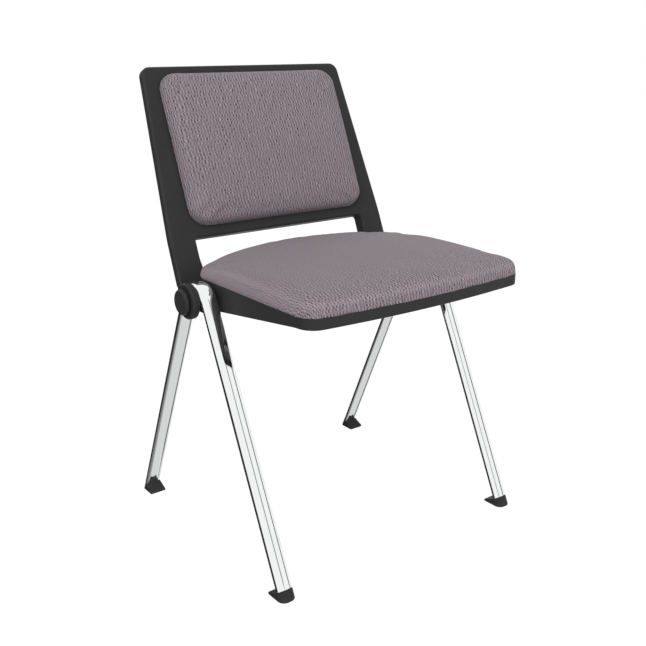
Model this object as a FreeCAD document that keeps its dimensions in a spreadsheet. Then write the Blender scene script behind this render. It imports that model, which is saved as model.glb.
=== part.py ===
import FreeCAD, Part
import math
import os

# Reception chair: two bent oval-tube side frames joined by a cross beam, a padded seat in a moulded
# pan and a padded back on a moulded frame. Millimetres, +Z up, the sitter faces -Y, floor at Z = 0.
# The sitter's right side is -X and the left side is +X.

Vec = FreeCAD.Vector
doc = FreeCAD.newDocument("reception_chair")

# Driving dimensions: alias, value, what it measures.
DIMS = [
    ("frame_spacing", 500, "distance between the side frames' middle planes"),
    ("tube_width", 30, "oval tube, across the chair"),
    ("tube_depth", 15, "oval tube, in the plane of the side frame"),
    ("tube_wall", 1.5, "oval tube wall"),
    ("front_foot", 216.4, "front tube end, forward of the origin"),
    ("rear_foot", 239.6, "rear tube end, behind the origin"),
    ("tube_end_height", 14.6, "tube end above the floor, at its middle"),
    ("apex_height", 509.5, "height where the two straight legs would meet"),
    ("apex_back", 17.6, "same point, behind the origin"),
    ("bend_radius", 34, "middle line of the bend between the legs"),
    ("hub_back", 17.6, "cross beam axis, behind the origin"),
    ("hub_height", 440.5, "cross beam axis above the floor"),
    ("beam_radius", 12, "cross beam outer radius"),
    ("beam_wall", 2, "cross beam wall"),
    ("beam_length", 524, "cross beam, end to end"),
    ("plug_length", 15, "threaded plug in each beam end"),
    ("plug_inset", 40, "outer face of the plug, in from the beam's end"),
    ("gusset_thickness", 5, "plate welded inside each bend"),
    ("gusset_low", 420, "lower edge of the gusset plate"),
    ("cover_radius", 30, "round hub cover"),
    ("cover_face", 277, "outer face of the hub cover from the middle of the chair"),
    ("cap_radius", 21.5, "round hub cap"),
    ("cap_face", 287, "outer face of the hub cap from the middle of the chair"),
    ("cap_neck", 14, "radius of the neck between cover and cap"),
    ("cap_groove", 2.5, "groove between hub cover and cap"),
    ("cap_key", 1, "cap's step into the cover's recess"),
    ("hub_round", 4, "outer edges of hub cover and cap"),
    ("hub_inner_round", 1.5, "their inner edges"),
    ("bolt_radius", 4, "hub bolt shank"),
    ("bolt_head", 7.6, "hub bolt's head, radius"),
    ("bolt_head_height", 3.5, "hub bolt's head, height"),
    ("head_recess", 5, "recess for that head in the cover, depth"),
    ("head_room", 8.8, "same, radius"),
    ("spigot_play", 0.5, "between the hub cover's spigot and the plug"),
    ("broken_edge", 0.5, "small rounding on metal pieces"),
    ("glide_length", 40, "foot's sole, fore and aft"),
    ("glide_toe", 16.2, "sole's outer end, beyond the middle of the tube's end"),
    ("glide_width", 31, "foot, across"),
    ("glide_corner", 13, "rounding of the foot's outer end, seen from above"),
    ("glide_heel", 2, "rounding of the foot's inner end"),
    ("glide_plug", 22, "length of the foot's plug inside the tube"),
    ("glide_play", 0.1, "between that plug and the tube"),
    ("seat_half", 227, "half of the seat's width"),
    ("seat_front_side", 252.4, "seat front at its corners, forward of the origin"),
    ("seat_front_mid", 272.8, "seat front lines' meeting point, forward of the origin"),
    ("seat_front_round", 30, "front corners, seen from above"),
    ("seat_front_bow", 1800, "radius of the front edge"),
    ("seat_rear_side", 67.6, "seat rear at its corners, behind the origin"),
    ("seat_rear_mid", 163.1, "seat rear lines' meeting point, behind the origin"),
    ("seat_rear_round", 35, "rear corners, seen from above"),
    ("seat_rear_bow", 341, "radius of the rear edge"),
    ("pan_wall", 3, "wall of the seat pan"),
    ("rim_height", 466, "top of the seat pan's rim"),
    ("floor_top", 459, "top of the seat pan's floor"),
    ("floor_low", 456, "underside of the seat pan's floor"),
    ("skirt_front", 447.5, "lower edge of the pan at its front"),
    ("skirt_ear", 21, "radius of the pan's ears round the cross beam"),
    ("skirt_rear", 451, "lower edge of the pan at its rear"),
    ("skirt_bend", 60, "bend of that edge behind the front band"),
    ("ear_half", 20, "half of an ear's lower edge, fore and aft"),
    ("ear_round", 12, "corners of the ears"),
    ("ear_rise", 30, "run in which the edge rises behind an ear"),
    ("board_play", 0.2, "between the seat board and the pan's wall"),
    ("cushion_edge", 22, "seat cushion height at its edges"),
    ("cushion_crown", 9.5, "further height at the middle of the seat"),
    ("cushion_roll", 11, "rolled edge of the seat cushion"),
    ("cushion_tuck", 1, "sides of a cushion drawn in at their foot"),
    ("cloth", 1.2, "upholstery cloth"),
    ("arm_place", 130, "seat arms from the middle of the chair"),
    ("arm_width", 26, "seat arm, across"),
    ("arm_thickness", 7, "seat arm and front bar"),
    ("arm_front", 204, "front end of the seat arms, forward of the origin"),
    ("arm_rear", 52, "rear end of the seat arms, behind the origin"),
    ("arm_round", 4, "corners of the seat arms"),
    ("front_bar_width", 25, "bar between the seat arms"),
    ("front_bar_setback", 6, "that bar, behind the arms' front ends"),
    ("screw_radius", 2.5, "seat and back screws"),
    ("screw_head", 5, "their heads"),
    ("screw_head_height", 3.5, "height of a head"),
    ("screw_end_gap", 1, "screw end short of what it is driven into"),
    ("screw_front", 179, "front seat screws, forward of the origin"),
    ("screw_rear", 40, "rear seat screws, behind the origin"),
    ("insert_radius", 4.5, "threaded inserts in the seat board"),
    ("recline", 22.5, "lean of the back from upright, degrees"),
    ("back_base_height", 430, "lower end of the back's uprights"),
    ("back_base_back", 98.95, "front face of the back at that height, behind the origin"),
    ("overall_height", 801.5, "top of the back's front face"),
    ("back_half_top", 215.4, "half of the back's width at the top"),
    ("back_half_knee", 237, "same where the uprights straighten"),
    ("back_half_low", 238.5, "same at the lower end"),
    ("knee_reach", 95, "where the uprights straighten, along the back"),
    ("knee_round", 300, "bend of the uprights' outer edge there"),
    ("upright_toe", 8, "outer lower corners of the uprights"),
    ("upright_heel", 8, "inner lower corners of the uprights"),
    ("back_round", 18, "top corners of the back"),
    ("gap_half", 187, "half of the opening's width between the uprights"),
    ("gap_half_low", 180, "same at the lower end"),
    ("gap_knee", 55, "where the opening starts to narrow, along the back"),
    ("gap_knee_round", 60, "bend of the opening's edge there"),
    ("gap_top", 90.4, "top of the opening, along the back"),
    ("back_depth", 14, "back frame, front to rear"),
    ("gap_depth", 24, "flange round the opening, front to rear"),
    ("gap_round", 5, "upper corners of the opening"),
    ("back_wall", 4, "wall of the back frame"),
    ("back_edge_round", 5, "rounded front edges of the back frame"),
    ("pad_half", 191.5, "half of the back pad's width"),
    ("pad_low", 108.5, "lower edge of the back pad, along the back"),
    ("pad_high", 388, "upper edge of the back pad, along the back"),
    ("pad_round", 34, "corners of the back pad"),
    ("pad_edge", 19, "back pad thickness at its edges"),
    ("pad_crown", 6, "further thickness at its middle"),
    ("pad_roll", 9, "rolled edge of the back pad"),
    ("pad_screw_place", 143, "pad screws from the middle of the chair"),
    ("pad_screw_inset", 50, "pad screws in from the pad's upper and lower edges"),
    ("panel_inset", 12, "carrier panel in from the pad's edge"),
    ("panel_thickness", 5, "carrier panel inside the back pad"),
    ("bracket_place", 227.5, "inner face of the back brackets from the middle"),
    ("bracket_thickness", 5, "back bracket plate"),
    ("bracket_ring", 18, "ring of the bracket round the cross beam"),
    ("bracket_bar", 9.5, "bracket's arm inside the upright, front to rear"),
    ("bracket_reach", 90, "upper end of the bracket, along the back"),
    ("bracket_root", 8, "half of the bracket's arm where it leaves the ring"),
    ("bracket_bend", 22, "where that arm turns into the upright, along the back"),
    ("bracket_round", 4, "corners of the bracket's upper end"),
    ("bracket_play", 0.3, "between the bracket and the upright's wall"),
    ("bracket_slot", 26, "height of the slot that the bracket passes through"),
    ("slot_play", 0.5, "each side of the bracket in that slot"),
    ("spigot_width", 24, "bar welded to the bracket, across"),
    ("spigot_low", 34, "lower end of that bar, along the back"),
    ("back_screw_low", 50, "lower screws of the uprights, along the back"),
    ("back_screw_high", 78, "upper screws of the uprights, along the back"),
]

sheet = doc.addObject("Spreadsheet::Sheet", "Dims")
for row, (alias, value, note) in enumerate(DIMS, start=1):
    sheet.set(f"A{row}", note)
    sheet.set(f"B{row}", str(value))
    sheet.setAlias(f"B{row}", alias)
doc.recompute()


def dim(alias):
    return float(sheet.get(alias))


nodes = []
SIDES = {"right": -1, "left": 1}
OVERCUT = 10  # how far an outline that cuts reaches past the solid


# Helpers for bodies, sketches and outlines

def new_body(name):
    body = doc.addObject("PartDesign::Body", name)
    body.Label = name
    nodes.append(body)
    return body


def new_sketch(body, role, height="0 mm", name="outline"):
    # height is an expression: how far the sketch stands off the body's own origin plane
    sketch = body.newObject("Sketcher::SketchObject", f"{body.Name}_{name}")
    plane = next(f for f in body.Origin.OriginFeatures if f.Role == role)
    sketch.AttachmentSupport = [(plane, "")]
    sketch.MapMode = "FlatFace"
    sketch.setExpression(".AttachmentOffset.Base.z", height)
    return sketch


def draw_outline(sketch, corners):
    # closed outline through (x, y, radius) corners, each rounded with an arc of its radius
    runs = []
    count = len(corners)
    for i, (x, y, radius) in enumerate(corners):
        here = Vec(x, y, 0)
        back = (Vec(*corners[i - 1][:2], 0) - here).normalize()
        ahead = (Vec(*corners[(i + 1) % count][:2], 0) - here).normalize()
        half = back.getAngle(ahead) / 2
        reach = radius / math.tan(half)
        middle = (back + ahead).normalize()
        centre = here + middle * (radius / math.sin(half))
        runs.append((here + back * reach, centre - middle * radius, here + ahead * reach, radius))
    for i, (start, top, end, radius) in enumerate(runs):
        if radius > 0:
            sketch.addGeometry(Part.Arc(start, top, end), False)
        following = runs[(i + 1) % count][0]
        if (following - end).Length > 1e-6:
            sketch.addGeometry(Part.LineSegment(end, following), False)


def draw_circles(sketch, radius, places):
    for x, y in places:
        sketch.addGeometry(Part.Circle(Vec(x, y, 0), Vec(0, 0, 1), radius), False)


def pad(body, sketch, length, reverse=False):
    feature = body.newObject("PartDesign::Pad", f"{sketch.Name}_pad")
    feature.Profile = sketch
    feature.Reversed = reverse
    feature.setExpression("Length", length)
    return feature


def pocket(body, sketch, length=None, reverse=False):
    # without a length the pocket runs through everything on both sides of its sketch
    feature = body.newObject("PartDesign::Pocket", f"{sketch.Name}_pocket")
    feature.Profile = sketch
    feature.Reversed = reverse
    if length is None:
        feature.Type = "ThroughAll"
        feature.Midplane = True
    else:
        feature.setExpression("Length", length)
    return feature


def revolve(body, sketch):
    # about the sketch's own horizontal axis
    feature = body.newObject("PartDesign::Revolution", f"{sketch.Name}_turned")
    feature.Profile = sketch
    feature.ReferenceAxis = (sketch, ["H_Axis"])
    feature.Angle = 360
    return feature


def inset(corners, distance):
    # same outline drawn in by a distance, for an outline whose corners all point outwards
    count = len(corners)
    pairs = [(corners[i - 1], corners[i]) for i in range(count)]
    turn = 1 if sum(a[0] * b[1] - b[0] * a[1] for a, b in pairs) > 0 else -1
    moved = []
    for i, (x, y, radius) in enumerate(corners):
        here = Vec(x, y, 0)
        back = (here - Vec(*corners[i - 1][:2], 0)).normalize()
        ahead = (Vec(*corners[(i + 1) % count][:2], 0) - here).normalize()
        normal_a = Vec(-back.y, back.x, 0) * turn
        normal_b = Vec(-ahead.y, ahead.x, 0) * turn
        step = (normal_a + normal_b) * (distance / (1 + normal_a.dot(normal_b)))
        moved.append((x + step.x, y + step.y, max(radius - distance, 0)))
    return moved


def mirrored(half):
    # outline from its right-hand half, listed from the bottom up; points on the middle line are not doubled
    return half + [(-x, y, r) for x, y, r in reversed(half) if abs(x) > 1e-9]


# Side frames: one oval tube each, two straight legs and one bend

apex = Vec(dim("apex_back"), dim("apex_height"), 0)
front_end = Vec(-dim("front_foot"), dim("tube_end_height"), 0)
rear_end = Vec(dim("rear_foot"), dim("tube_end_height"), 0)
front_run = (apex - front_end).normalize()
rear_run = (apex - rear_end).normalize()
leg_half = (front_run * -1).getAngle(rear_run * -1) / 2
bend_down = ((front_run + rear_run) * -1).normalize()
bend_centre = apex + bend_down * (dim("bend_radius") / math.sin(leg_half))
bend_reach = dim("bend_radius") / math.tan(leg_half)
front_lean = math.degrees(math.atan2(front_run.x, front_run.y))
rear_lean = math.degrees(math.atan2(-rear_run.x, rear_run.y))


def oval(sketch, width, depth):
    sketch.addGeometry(Part.Ellipse(Vec(width / 2, 0, 0), Vec(0, depth / 2, 0), Vec(0, 0, 0)), False)


def side_frame(side, sign):
    body = new_body(f"side_frame_{side}")
    path = new_sketch(body, "YZ_Plane", f"{sign} * Dims.frame_spacing / 2", "path")
    bend_start = apex - front_run * bend_reach
    bend_end = apex - rear_run * bend_reach
    bend_top = bend_centre - bend_down * dim("bend_radius")
    path.addGeometry(Part.LineSegment(front_end, bend_start), False)
    path.addGeometry(Part.Arc(bend_start, bend_top, bend_end), False)
    path.addGeometry(Part.LineSegment(bend_end, rear_end), False)
    section = new_sketch(body, "XY_Plane", name="section")
    section.AttachmentOffset = FreeCAD.Placement(
        Vec(sign * dim("frame_spacing") / 2, front_end.x, front_end.y),
        FreeCAD.Rotation(Vec(1, 0, 0), -front_lean))
    section.setExpression(".AttachmentOffset.Base.z", "Dims.tube_end_height")
    oval(section, dim("tube_width"), dim("tube_depth"))
    oval(section, dim("tube_width") - 2 * dim("tube_wall"), dim("tube_depth") - 2 * dim("tube_wall"))
    tube = body.newObject("PartDesign::AdditivePipe", f"{body.Name}_tube")
    tube.Profile = section
    tube.Spine = (path, ["Edge1", "Edge2", "Edge3"])


def gusset(side, sign):
    # plate inside the bend, following its inner line and the legs, with a hole for the cross beam
    body = new_body(f"gusset_{side}")
    sketch = new_sketch(body, "YZ_Plane",
                        f"{sign} * Dims.frame_spacing / 2 - Dims.gusset_thickness / 2", "plate")
    inner = dim("bend_radius") - dim("tube_depth") / 2
    inner_apex = bend_centre - bend_down * (inner / math.sin(leg_half))
    low = dim("gusset_low")
    front_low = inner_apex.x - (inner_apex.y - low) * front_run.x / front_run.y
    rear_low = inner_apex.x - (inner_apex.y - low) * rear_run.x / rear_run.y
    edge = dim("broken_edge")
    draw_outline(sketch, [(front_low, low, edge), (rear_low, low, edge), (inner_apex.x, inner_apex.y, inner)])
    draw_circles(sketch, dim("beam_radius"), [(dim("hub_back"), dim("hub_height"))])
    pad(body, sketch, "Dims.gusset_thickness")


# Cross beam and what closes its ends

def cross_beam():
    body = new_body("cross_beam")
    sketch = new_sketch(body, "YZ_Plane", "-Dims.beam_length / 2", "ring")
    centre = [(dim("hub_back"), dim("hub_height"))]
    draw_circles(sketch, dim("beam_radius"), centre)
    draw_circles(sketch, dim("beam_radius") - dim("beam_wall"), centre)
    pad(body, sketch, "Dims.beam_length")


def on_hub_axis(body):
    body.Placement = FreeCAD.Placement(Vec(0, dim("hub_back"), dim("hub_height")), FreeCAD.Rotation())


def turned(name, sign, profile):
    # a piece turned about the cross beam's axis, from (distance from the chair's middle, radius) points
    body = new_body(name)
    sketch = new_sketch(body, "XZ_Plane", name="profile")
    draw_outline(sketch, [(sign * x, y, radius) for x, y, radius in profile])
    revolve(body, sketch)
    on_hub_axis(body)


def hub_pieces(side, sign):
    bore = dim("beam_radius") - dim("beam_wall")
    hole = dim("bolt_radius")
    edge = dim("broken_edge")
    tube_face = dim("frame_spacing") / 2 + dim("tube_width") / 2
    plug_out = dim("beam_length") / 2 - dim("plug_inset")
    plug_in = plug_out - dim("plug_length")
    spigot_end = plug_out + dim("spigot_play")
    rim = dim("cover_radius")
    face = dim("cover_face")
    room = dim("head_room")
    head_seat = face - dim("head_recess")
    head_top = head_seat + dim("bolt_head_height")
    inner_round = dim("hub_inner_round")
    turned(f"beam_plug_{side}", sign, [
        (plug_in, hole, 0), (plug_in, bore, edge), (plug_out, bore, edge), (plug_out, hole, 0)])
    turned(f"hub_cover_{side}", sign, [
        (spigot_end, hole, 0), (spigot_end, bore, edge), (tube_face, bore, 0), (tube_face, rim, inner_round),
        (face, rim, dim("hub_round")), (face, room, 0), (head_seat, room, 0), (head_seat, hole, 0)])
    turned(f"hub_bolt_{side}", sign, [
        (plug_in, 0, 0), (plug_in, hole, edge), (head_seat, hole, 0), (head_seat, dim("bolt_head"), 0),
        (head_top, dim("bolt_head"), edge), (head_top, 0, 0)])
    key = face - dim("cap_key")
    neck = dim("cap_neck")
    cap = dim("cap_radius")
    cap_start = face + dim("cap_groove")
    cap_end = dim("cap_face")
    turned(f"hub_cap_{side}", sign, [
        (key, 0, 0), (key, room, 0), (face, room, 0), (face, neck, 0), (cap_start, neck, edge),
        (cap_start, cap, inner_round), (cap_end, cap, dim("hub_round")), (cap_end, 0, 0)])


# Feet: a plug inside the tube and a cap that runs on along the tube to a flat sole, with a thin heel

def glide(end, side, sign):
    front = end == "front"
    name = f"glide_{end}_{side}"
    ahead = -1 if front else 1
    tube_end = front_end if front else rear_end
    run = front_run if front else rear_run
    lean = front_lean if front else rear_lean
    middle = sign * dim("frame_spacing") / 2
    half = dim("glide_width") / 2
    outer = tube_end.x + ahead * dim("glide_toe")
    inner = outer - ahead * dim("glide_length")
    body = new_body(name)
    sole = new_sketch(body, "XY_Plane", name="sole")
    heel = dim("glide_heel")
    corner = dim("glide_corner")
    draw_outline(sole, [(middle - half, inner, heel), (middle + half, inner, heel),
                        (middle + half, outer, corner), (middle - half, outer, corner)])
    shell = pad(body, sole, "2 * Dims.tube_end_height + Dims.glide_length / 2")
    shell.UseCustomVector = True
    shell.Direction = Vec(0, run.x, run.y)
    slope = math.tan(math.radians(lean))
    top = new_sketch(body, "YZ_Plane", f"{sign} * Dims.frame_spacing / 2", "slope")
    far = 2 * dim("glide_length")
    height = dim("tube_end_height")
    ends = [tube_end.x + ahead * far, tube_end.x - ahead * far]
    draw_outline(top, [(ends[0], height + far * slope, 0), (ends[1], height - far * slope, 0),
                       (ends[1], height + 2 * far, 0), (ends[0], height + 2 * far, 0)])
    pocket(body, top)
    plug = new_sketch(body, "XY_Plane", name="plug")
    plug.AttachmentOffset = FreeCAD.Placement(
        Vec(middle, tube_end.x, height), FreeCAD.Rotation(Vec(1, 0, 0), ahead * lean))
    plug.setExpression(".AttachmentOffset.Base.z", "Dims.tube_end_height")
    gap = 2 * (dim("tube_wall") + dim("glide_play"))
    oval(plug, dim("tube_width") - gap, dim("tube_depth") - gap)
    pad(body, plug, "Dims.glide_plug")


# Seat

seat_half_outline = [
    (0, -dim("seat_front_mid"), dim("seat_front_bow")),
    (dim("seat_half"), -dim("seat_front_side"), dim("seat_front_round")),
    (dim("seat_half"), dim("seat_rear_side"), dim("seat_rear_round")),
    (0, dim("seat_rear_mid"), dim("seat_rear_bow"))]
seat_outline = mirrored(seat_half_outline)
screw_places = [(sx * dim("arm_place"), y) for sx in (-1, 1)
                for y in (-dim("screw_front"), dim("screw_rear"))]


def seat_pan():
    body = new_body("seat_pan")
    lowest = dim("hub_height") - dim("skirt_ear")
    block = new_sketch(body, "XY_Plane", "Dims.hub_height - Dims.skirt_ear", "plan")
    draw_outline(block, seat_outline)
    pad(body, block, "Dims.rim_height - Dims.hub_height + Dims.skirt_ear")
    # the lower edge falls from the front to the ears round the cross beam and rises again behind them
    skirt = new_sketch(body, "YZ_Plane", name="skirt")
    front = -dim("seat_front_mid") - OVERCUT
    band = -dim("seat_front_side") + dim("seat_front_round")
    ear_front = dim("hub_back") - dim("ear_half")
    ear_rear = dim("hub_back") + dim("ear_half")
    rear = dim("seat_rear_mid")
    under = lowest - OVERCUT
    draw_outline(skirt, [
        (front, dim("skirt_front"), 0), (band, dim("skirt_front"), dim("skirt_bend")),
        (ear_front, lowest, dim("ear_round")), (ear_rear, lowest, dim("ear_round")),
        (ear_rear + dim("ear_rise"), dim("skirt_rear"), dim("ear_round")), (rear, dim("skirt_rear"), 0),
        (rear, under, 0), (front, under, 0)])
    pocket(body, skirt)
    hollow = new_sketch(body, "XY_Plane", "Dims.hub_height - Dims.skirt_ear", "hollow")
    draw_outline(hollow, inset(seat_outline, dim("pan_wall")))
    pocket(body, hollow, "Dims.floor_low - Dims.hub_height + Dims.skirt_ear", reverse=True)
    tray = new_sketch(body, "XY_Plane", "Dims.rim_height", "tray")
    draw_outline(tray, inset(seat_outline, dim("pan_wall")))
    pocket(body, tray, "Dims.rim_height - Dims.floor_top")
    slot = new_sketch(body, "YZ_Plane", name="slot")
    bore = dim("beam_radius")
    slot_front = dim("hub_back") - bore
    slot_rear = dim("hub_back") + bore
    slot_top = dim("hub_height") + bore
    draw_outline(slot, [(slot_front, under, 0), (slot_rear, under, 0),
                        (slot_rear, slot_top, bore), (slot_front, slot_top, bore)])
    pocket(body, slot)
    holes = new_sketch(body, "XY_Plane", "Dims.floor_top", "holes")
    draw_circles(holes, dim("screw_radius"), screw_places)
    pocket(body, holes)


def seat_board():
    body = new_body("seat_board")
    sketch = new_sketch(body, "XY_Plane", "Dims.floor_top", "plan")
    draw_outline(sketch, inset(seat_outline, dim("pan_wall") + dim("board_play")))
    draw_circles(sketch, dim("insert_radius"), screw_places)
    pad(body, sketch, "Dims.rim_height - Dims.floor_top")


def seat_inserts():
    rings = []
    for i, (x, y) in enumerate(screw_places):
        outer = doc.addObject("Part::Cylinder", f"insert_{i}")
        outer.setExpression("Radius", "Dims.insert_radius")
        inner = doc.addObject("Part::Cylinder", f"insert_bore_{i}")
        inner.setExpression("Radius", "Dims.screw_radius")
        for cylinder in (outer, inner):
            cylinder.setExpression("Height", "Dims.rim_height - Dims.floor_top")
            cylinder.Placement.Base = Vec(x, y, dim("floor_top"))
        ring = doc.addObject("Part::Cut", f"insert_ring_{i}")
        ring.Base = outer
        ring.Tool = inner
        rings.append(ring)
    group("seat_inserts", rings)


def group(name, members):
    compound = doc.addObject("Part::Compound", name)
    compound.Label = name
    compound.Links = members
    nodes.append(compound)


def screws(name, length, places):
    # each place: where the head meets the piece, and the direction that the shank points
    members = []
    for i, (base, direction) in enumerate(places):
        shank = doc.addObject("Part::Cylinder", f"{name}_shank_{i}")
        shank.setExpression("Radius", "Dims.screw_radius")
        shank.Height = length
        head = doc.addObject("Part::Cylinder", f"{name}_head_{i}")
        head.setExpression("Radius", "Dims.screw_head")
        head.setExpression("Height", "Dims.screw_head_height")
        head.Placement.Base = Vec(0, 0, -dim("screw_head_height"))
        screw = doc.addObject("Part::Fuse", f"{name}_{i}")
        screw.Base = head
        screw.Tool = shank
        screw.Placement = FreeCAD.Placement(base, FreeCAD.Rotation(Vec(0, 0, 1), direction))
        members.append(screw)
    group(name, members)


def seat_arm(side, sign):
    body = new_body(f"seat_arm_{side}")
    bar = new_sketch(body, "XY_Plane", "Dims.floor_low - Dims.arm_thickness", "bar")
    middle = sign * dim("arm_place")
    half = dim("arm_width") / 2
    front = -dim("arm_front")
    rear = dim("arm_rear")
    corner = dim("arm_round")
    draw_outline(bar, [(middle - half, front, corner), (middle + half, front, corner),
                       (middle + half, rear, corner), (middle - half, rear, corner)])
    draw_circles(bar, dim("screw_radius"), [p for p in screw_places if p[0] * sign > 0])
    pad(body, bar, "Dims.arm_thickness")
    saddle = new_sketch(body, "YZ_Plane", name="saddle")
    draw_circles(saddle, dim("beam_radius"), [(dim("hub_back"), dim("hub_height"))])
    pocket(body, saddle)


def front_bar():
    body = new_body("front_bar")
    sketch = new_sketch(body, "XY_Plane", "Dims.floor_low - Dims.arm_thickness", "bar")
    half = dim("arm_place") - dim("arm_width") / 2
    front = -dim("arm_front") + dim("front_bar_setback")
    rear = front + dim("front_bar_width")
    draw_outline(sketch, [(-half, front, 0), (half, front, 0), (half, rear, 0), (-half, rear, 0)])
    pad(body, sketch, "Dims.arm_thickness")


# Cushions: lofts along X through sections of one straight base, two rolled ends and a crowned top

STEPS_OUT = (0.4, 0.58, 0.71, 0.83, 0.9, 0.95, 0.985, 1)  # sections' places, as shares of the half width
CUSHION_STEPS = [-step for step in reversed(STEPS_OUT)] + [0] + list(STEPS_OUT)
BELLY_HEIGHT = 0.6  # where a cushion's side stands out most, as a share of the edge's height
BELLY_IN = 0.1  # how far in that is, as a share of the roll
SIDE_FALL = 0.75  # how much of the roll the left and right sides take from the edge's height
CROWN_FADE = 0.6  # share of the crown that is gone at the left and right sides
HOLLOW_SINK = 1  # how far the foam's loft starts below the cushion's base, so the cover opens there


def corner_drop(across, half, radius):
    # how far a rounded corner falls back from the straight edge, at a distance from the middle
    into = max(abs(across) - (half - radius), 0)
    return radius - math.sqrt(max(radius ** 2 - into ** 2, 0))


def cushion_section(sketch, low, high, base, edge, crown, roll, sink):
    # base line from low to high, rolled ends and a top that rises to the crown in the middle;
    # sink carries the section straight down below its base
    middle = (low + high) / 2
    belly = base + BELLY_HEIGHT * edge
    start = Vec(low + dim("cushion_tuck"), base, 0)
    stop = Vec(high - dim("cushion_tuck"), base, 0)
    low_top = Vec(low + roll, base + edge, 0)
    high_top = Vec(high - roll, base + edge, 0)
    down = Vec(0, -sink, 0)
    sketch.addGeometry(Part.LineSegment(start + down, stop + down), False)
    if sink > 0:
        sketch.addGeometry(Part.LineSegment(stop + down, stop), False)
    sketch.addGeometry(Part.Arc(stop, Vec(high - BELLY_IN * roll, belly, 0), high_top), False)
    sketch.addGeometry(Part.Arc(high_top, Vec(middle, base + edge + crown, 0), low_top), False)
    sketch.addGeometry(Part.Arc(low_top, Vec(low + BELLY_IN * roll, belly, 0), start), False)
    if sink > 0:
        sketch.addGeometry(Part.LineSegment(start, start + down), False)


def cushion_loft(body, name, kind, half, shape, sink):
    # shape(across) gives low, high, base, edge, crown and roll of the section at that distance
    sections = []
    for i, step in enumerate(CUSHION_STEPS):
        across = step * half
        sketch = new_sketch(body, "YZ_Plane", f"{across:.4f} mm", f"{name}_{i}")
        cushion_section(sketch, *shape(across), sink)
        sections.append(sketch)
    loft = body.newObject(kind, f"{body.Name}_{name}")
    loft.Profile = sections[0]
    loft.Sections = sections[1:]
    loft.Ruled = False
    return loft


def seat_edge(across, middle, side, bow, corner, skin):
    # how far the seat's outline reaches at a distance across: an arc, then a straight run, then the corner;
    # skin is how far inside that outline the form lies
    across = abs(across)
    turn = math.atan2(middle - side, dim("seat_half"))
    centre = dim("seat_half") - corner
    middle -= skin / math.cos(turn)
    bow -= skin
    corner -= skin
    if across <= bow * math.sin(turn):
        return middle - bow / math.cos(turn) + math.sqrt(bow ** 2 - across ** 2)
    if across <= centre + corner * math.sin(turn):
        return middle - across * math.tan(turn)
    level = middle - centre * math.tan(turn) - corner / math.cos(turn)
    return level + math.sqrt(max(corner ** 2 - (across - centre) ** 2, 0))


def seat_shape(skin):
    # skin is how far this form lies inside the cushion's outer face
    half = dim("seat_half") - skin
    roll = dim("cushion_roll")
    front = [dim(f"seat_front_{word}") for word in ("mid", "side", "bow", "round")]
    rear = [dim(f"seat_rear_{word}") for word in ("mid", "side", "bow", "round")]

    def shape(across):
        low = -seat_edge(across, *front, skin)
        high = seat_edge(across, *rear, skin)
        edge = dim("cushion_edge") - skin - SIDE_FALL * corner_drop(across, half, roll)
        crown = dim("cushion_crown") * (1 - CROWN_FADE * (across / half) ** 2)
        return low, high, dim("rim_height"), edge, crown, roll
    return half, shape


def pad_shape(skin):
    half = dim("pad_half") - skin
    roll = dim("pad_roll")

    def shape(across):
        drop = corner_drop(across, half, dim("pad_round"))
        low = dim("pad_low") + skin + drop
        high = dim("pad_high") - skin - drop
        edge = dim("pad_edge") - skin - SIDE_FALL * corner_drop(across, half, roll)
        crown = dim("pad_crown") * (1 - CROWN_FADE * (across / half) ** 2)
        return low, high, 0, edge, crown, roll
    return half, shape


def foam_body(name, form, base):
    # the foam fills its cover exactly and is cut flat at the cushion's base
    foam = new_body(name)
    cushion_loft(foam, "form", "PartDesign::AdditiveLoft", *form(dim("cloth")), HOLLOW_SINK)
    flat = new_sketch(foam, "XY_Plane", base, "flat")
    far = dim("frame_spacing")
    draw_outline(flat, [(-far, -far, 0), (far, -far, 0), (far, far, 0), (-far, far, 0)])
    pocket(foam, flat, f"{OVERCUT} mm")
    return foam


def cover_body(name, form):
    cover = new_body(name)
    cushion_loft(cover, "outer", "PartDesign::AdditiveLoft", *form(0), 0)
    cushion_loft(cover, "inner", "PartDesign::SubtractiveLoft", *form(dim("cloth")), HOLLOW_SINK)
    return cover


def seat_cushion():
    foam_body("seat_foam", seat_shape, "Dims.rim_height")
    cover_body("seat_cover", seat_shape)


# Back: pieces are drawn upright, on the back's own front face, and then leaned to the recline

lean_back = FreeCAD.Placement(Vec(0, dim("back_base_back"), dim("back_base_height")),
                              FreeCAD.Rotation(Vec(1, 0, 0), 90 - dim("recline")))
back_length = (dim("overall_height") - dim("back_base_height")) / math.cos(math.radians(dim("recline")))


def lean(body):
    body.Placement = lean_back


pad_outline = [(sx * dim("pad_half"), y, dim("pad_round")) for sx, y in (
    (-1, dim("pad_low")), (1, dim("pad_low")), (1, dim("pad_high")), (-1, dim("pad_high")))]
panel_outline = inset(pad_outline, dim("panel_inset"))
pad_screw_rows = (dim("pad_low") + dim("pad_screw_inset"), dim("pad_high") - dim("pad_screw_inset"))
pad_screw_places = [(sx * dim("pad_screw_place"), y) for sx in (-1, 1) for y in pad_screw_rows]
spigot_middle = dim("bracket_place") - dim("spigot_width") / 2
back_screw_places = [(sx * spigot_middle, y) for sx in (-1, 1)
                     for y in (dim("back_screw_low"), dim("back_screw_high"))]
bracket_near = dim("back_wall") + dim("bracket_play")
bracket_far = bracket_near + dim("bracket_bar")


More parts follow.
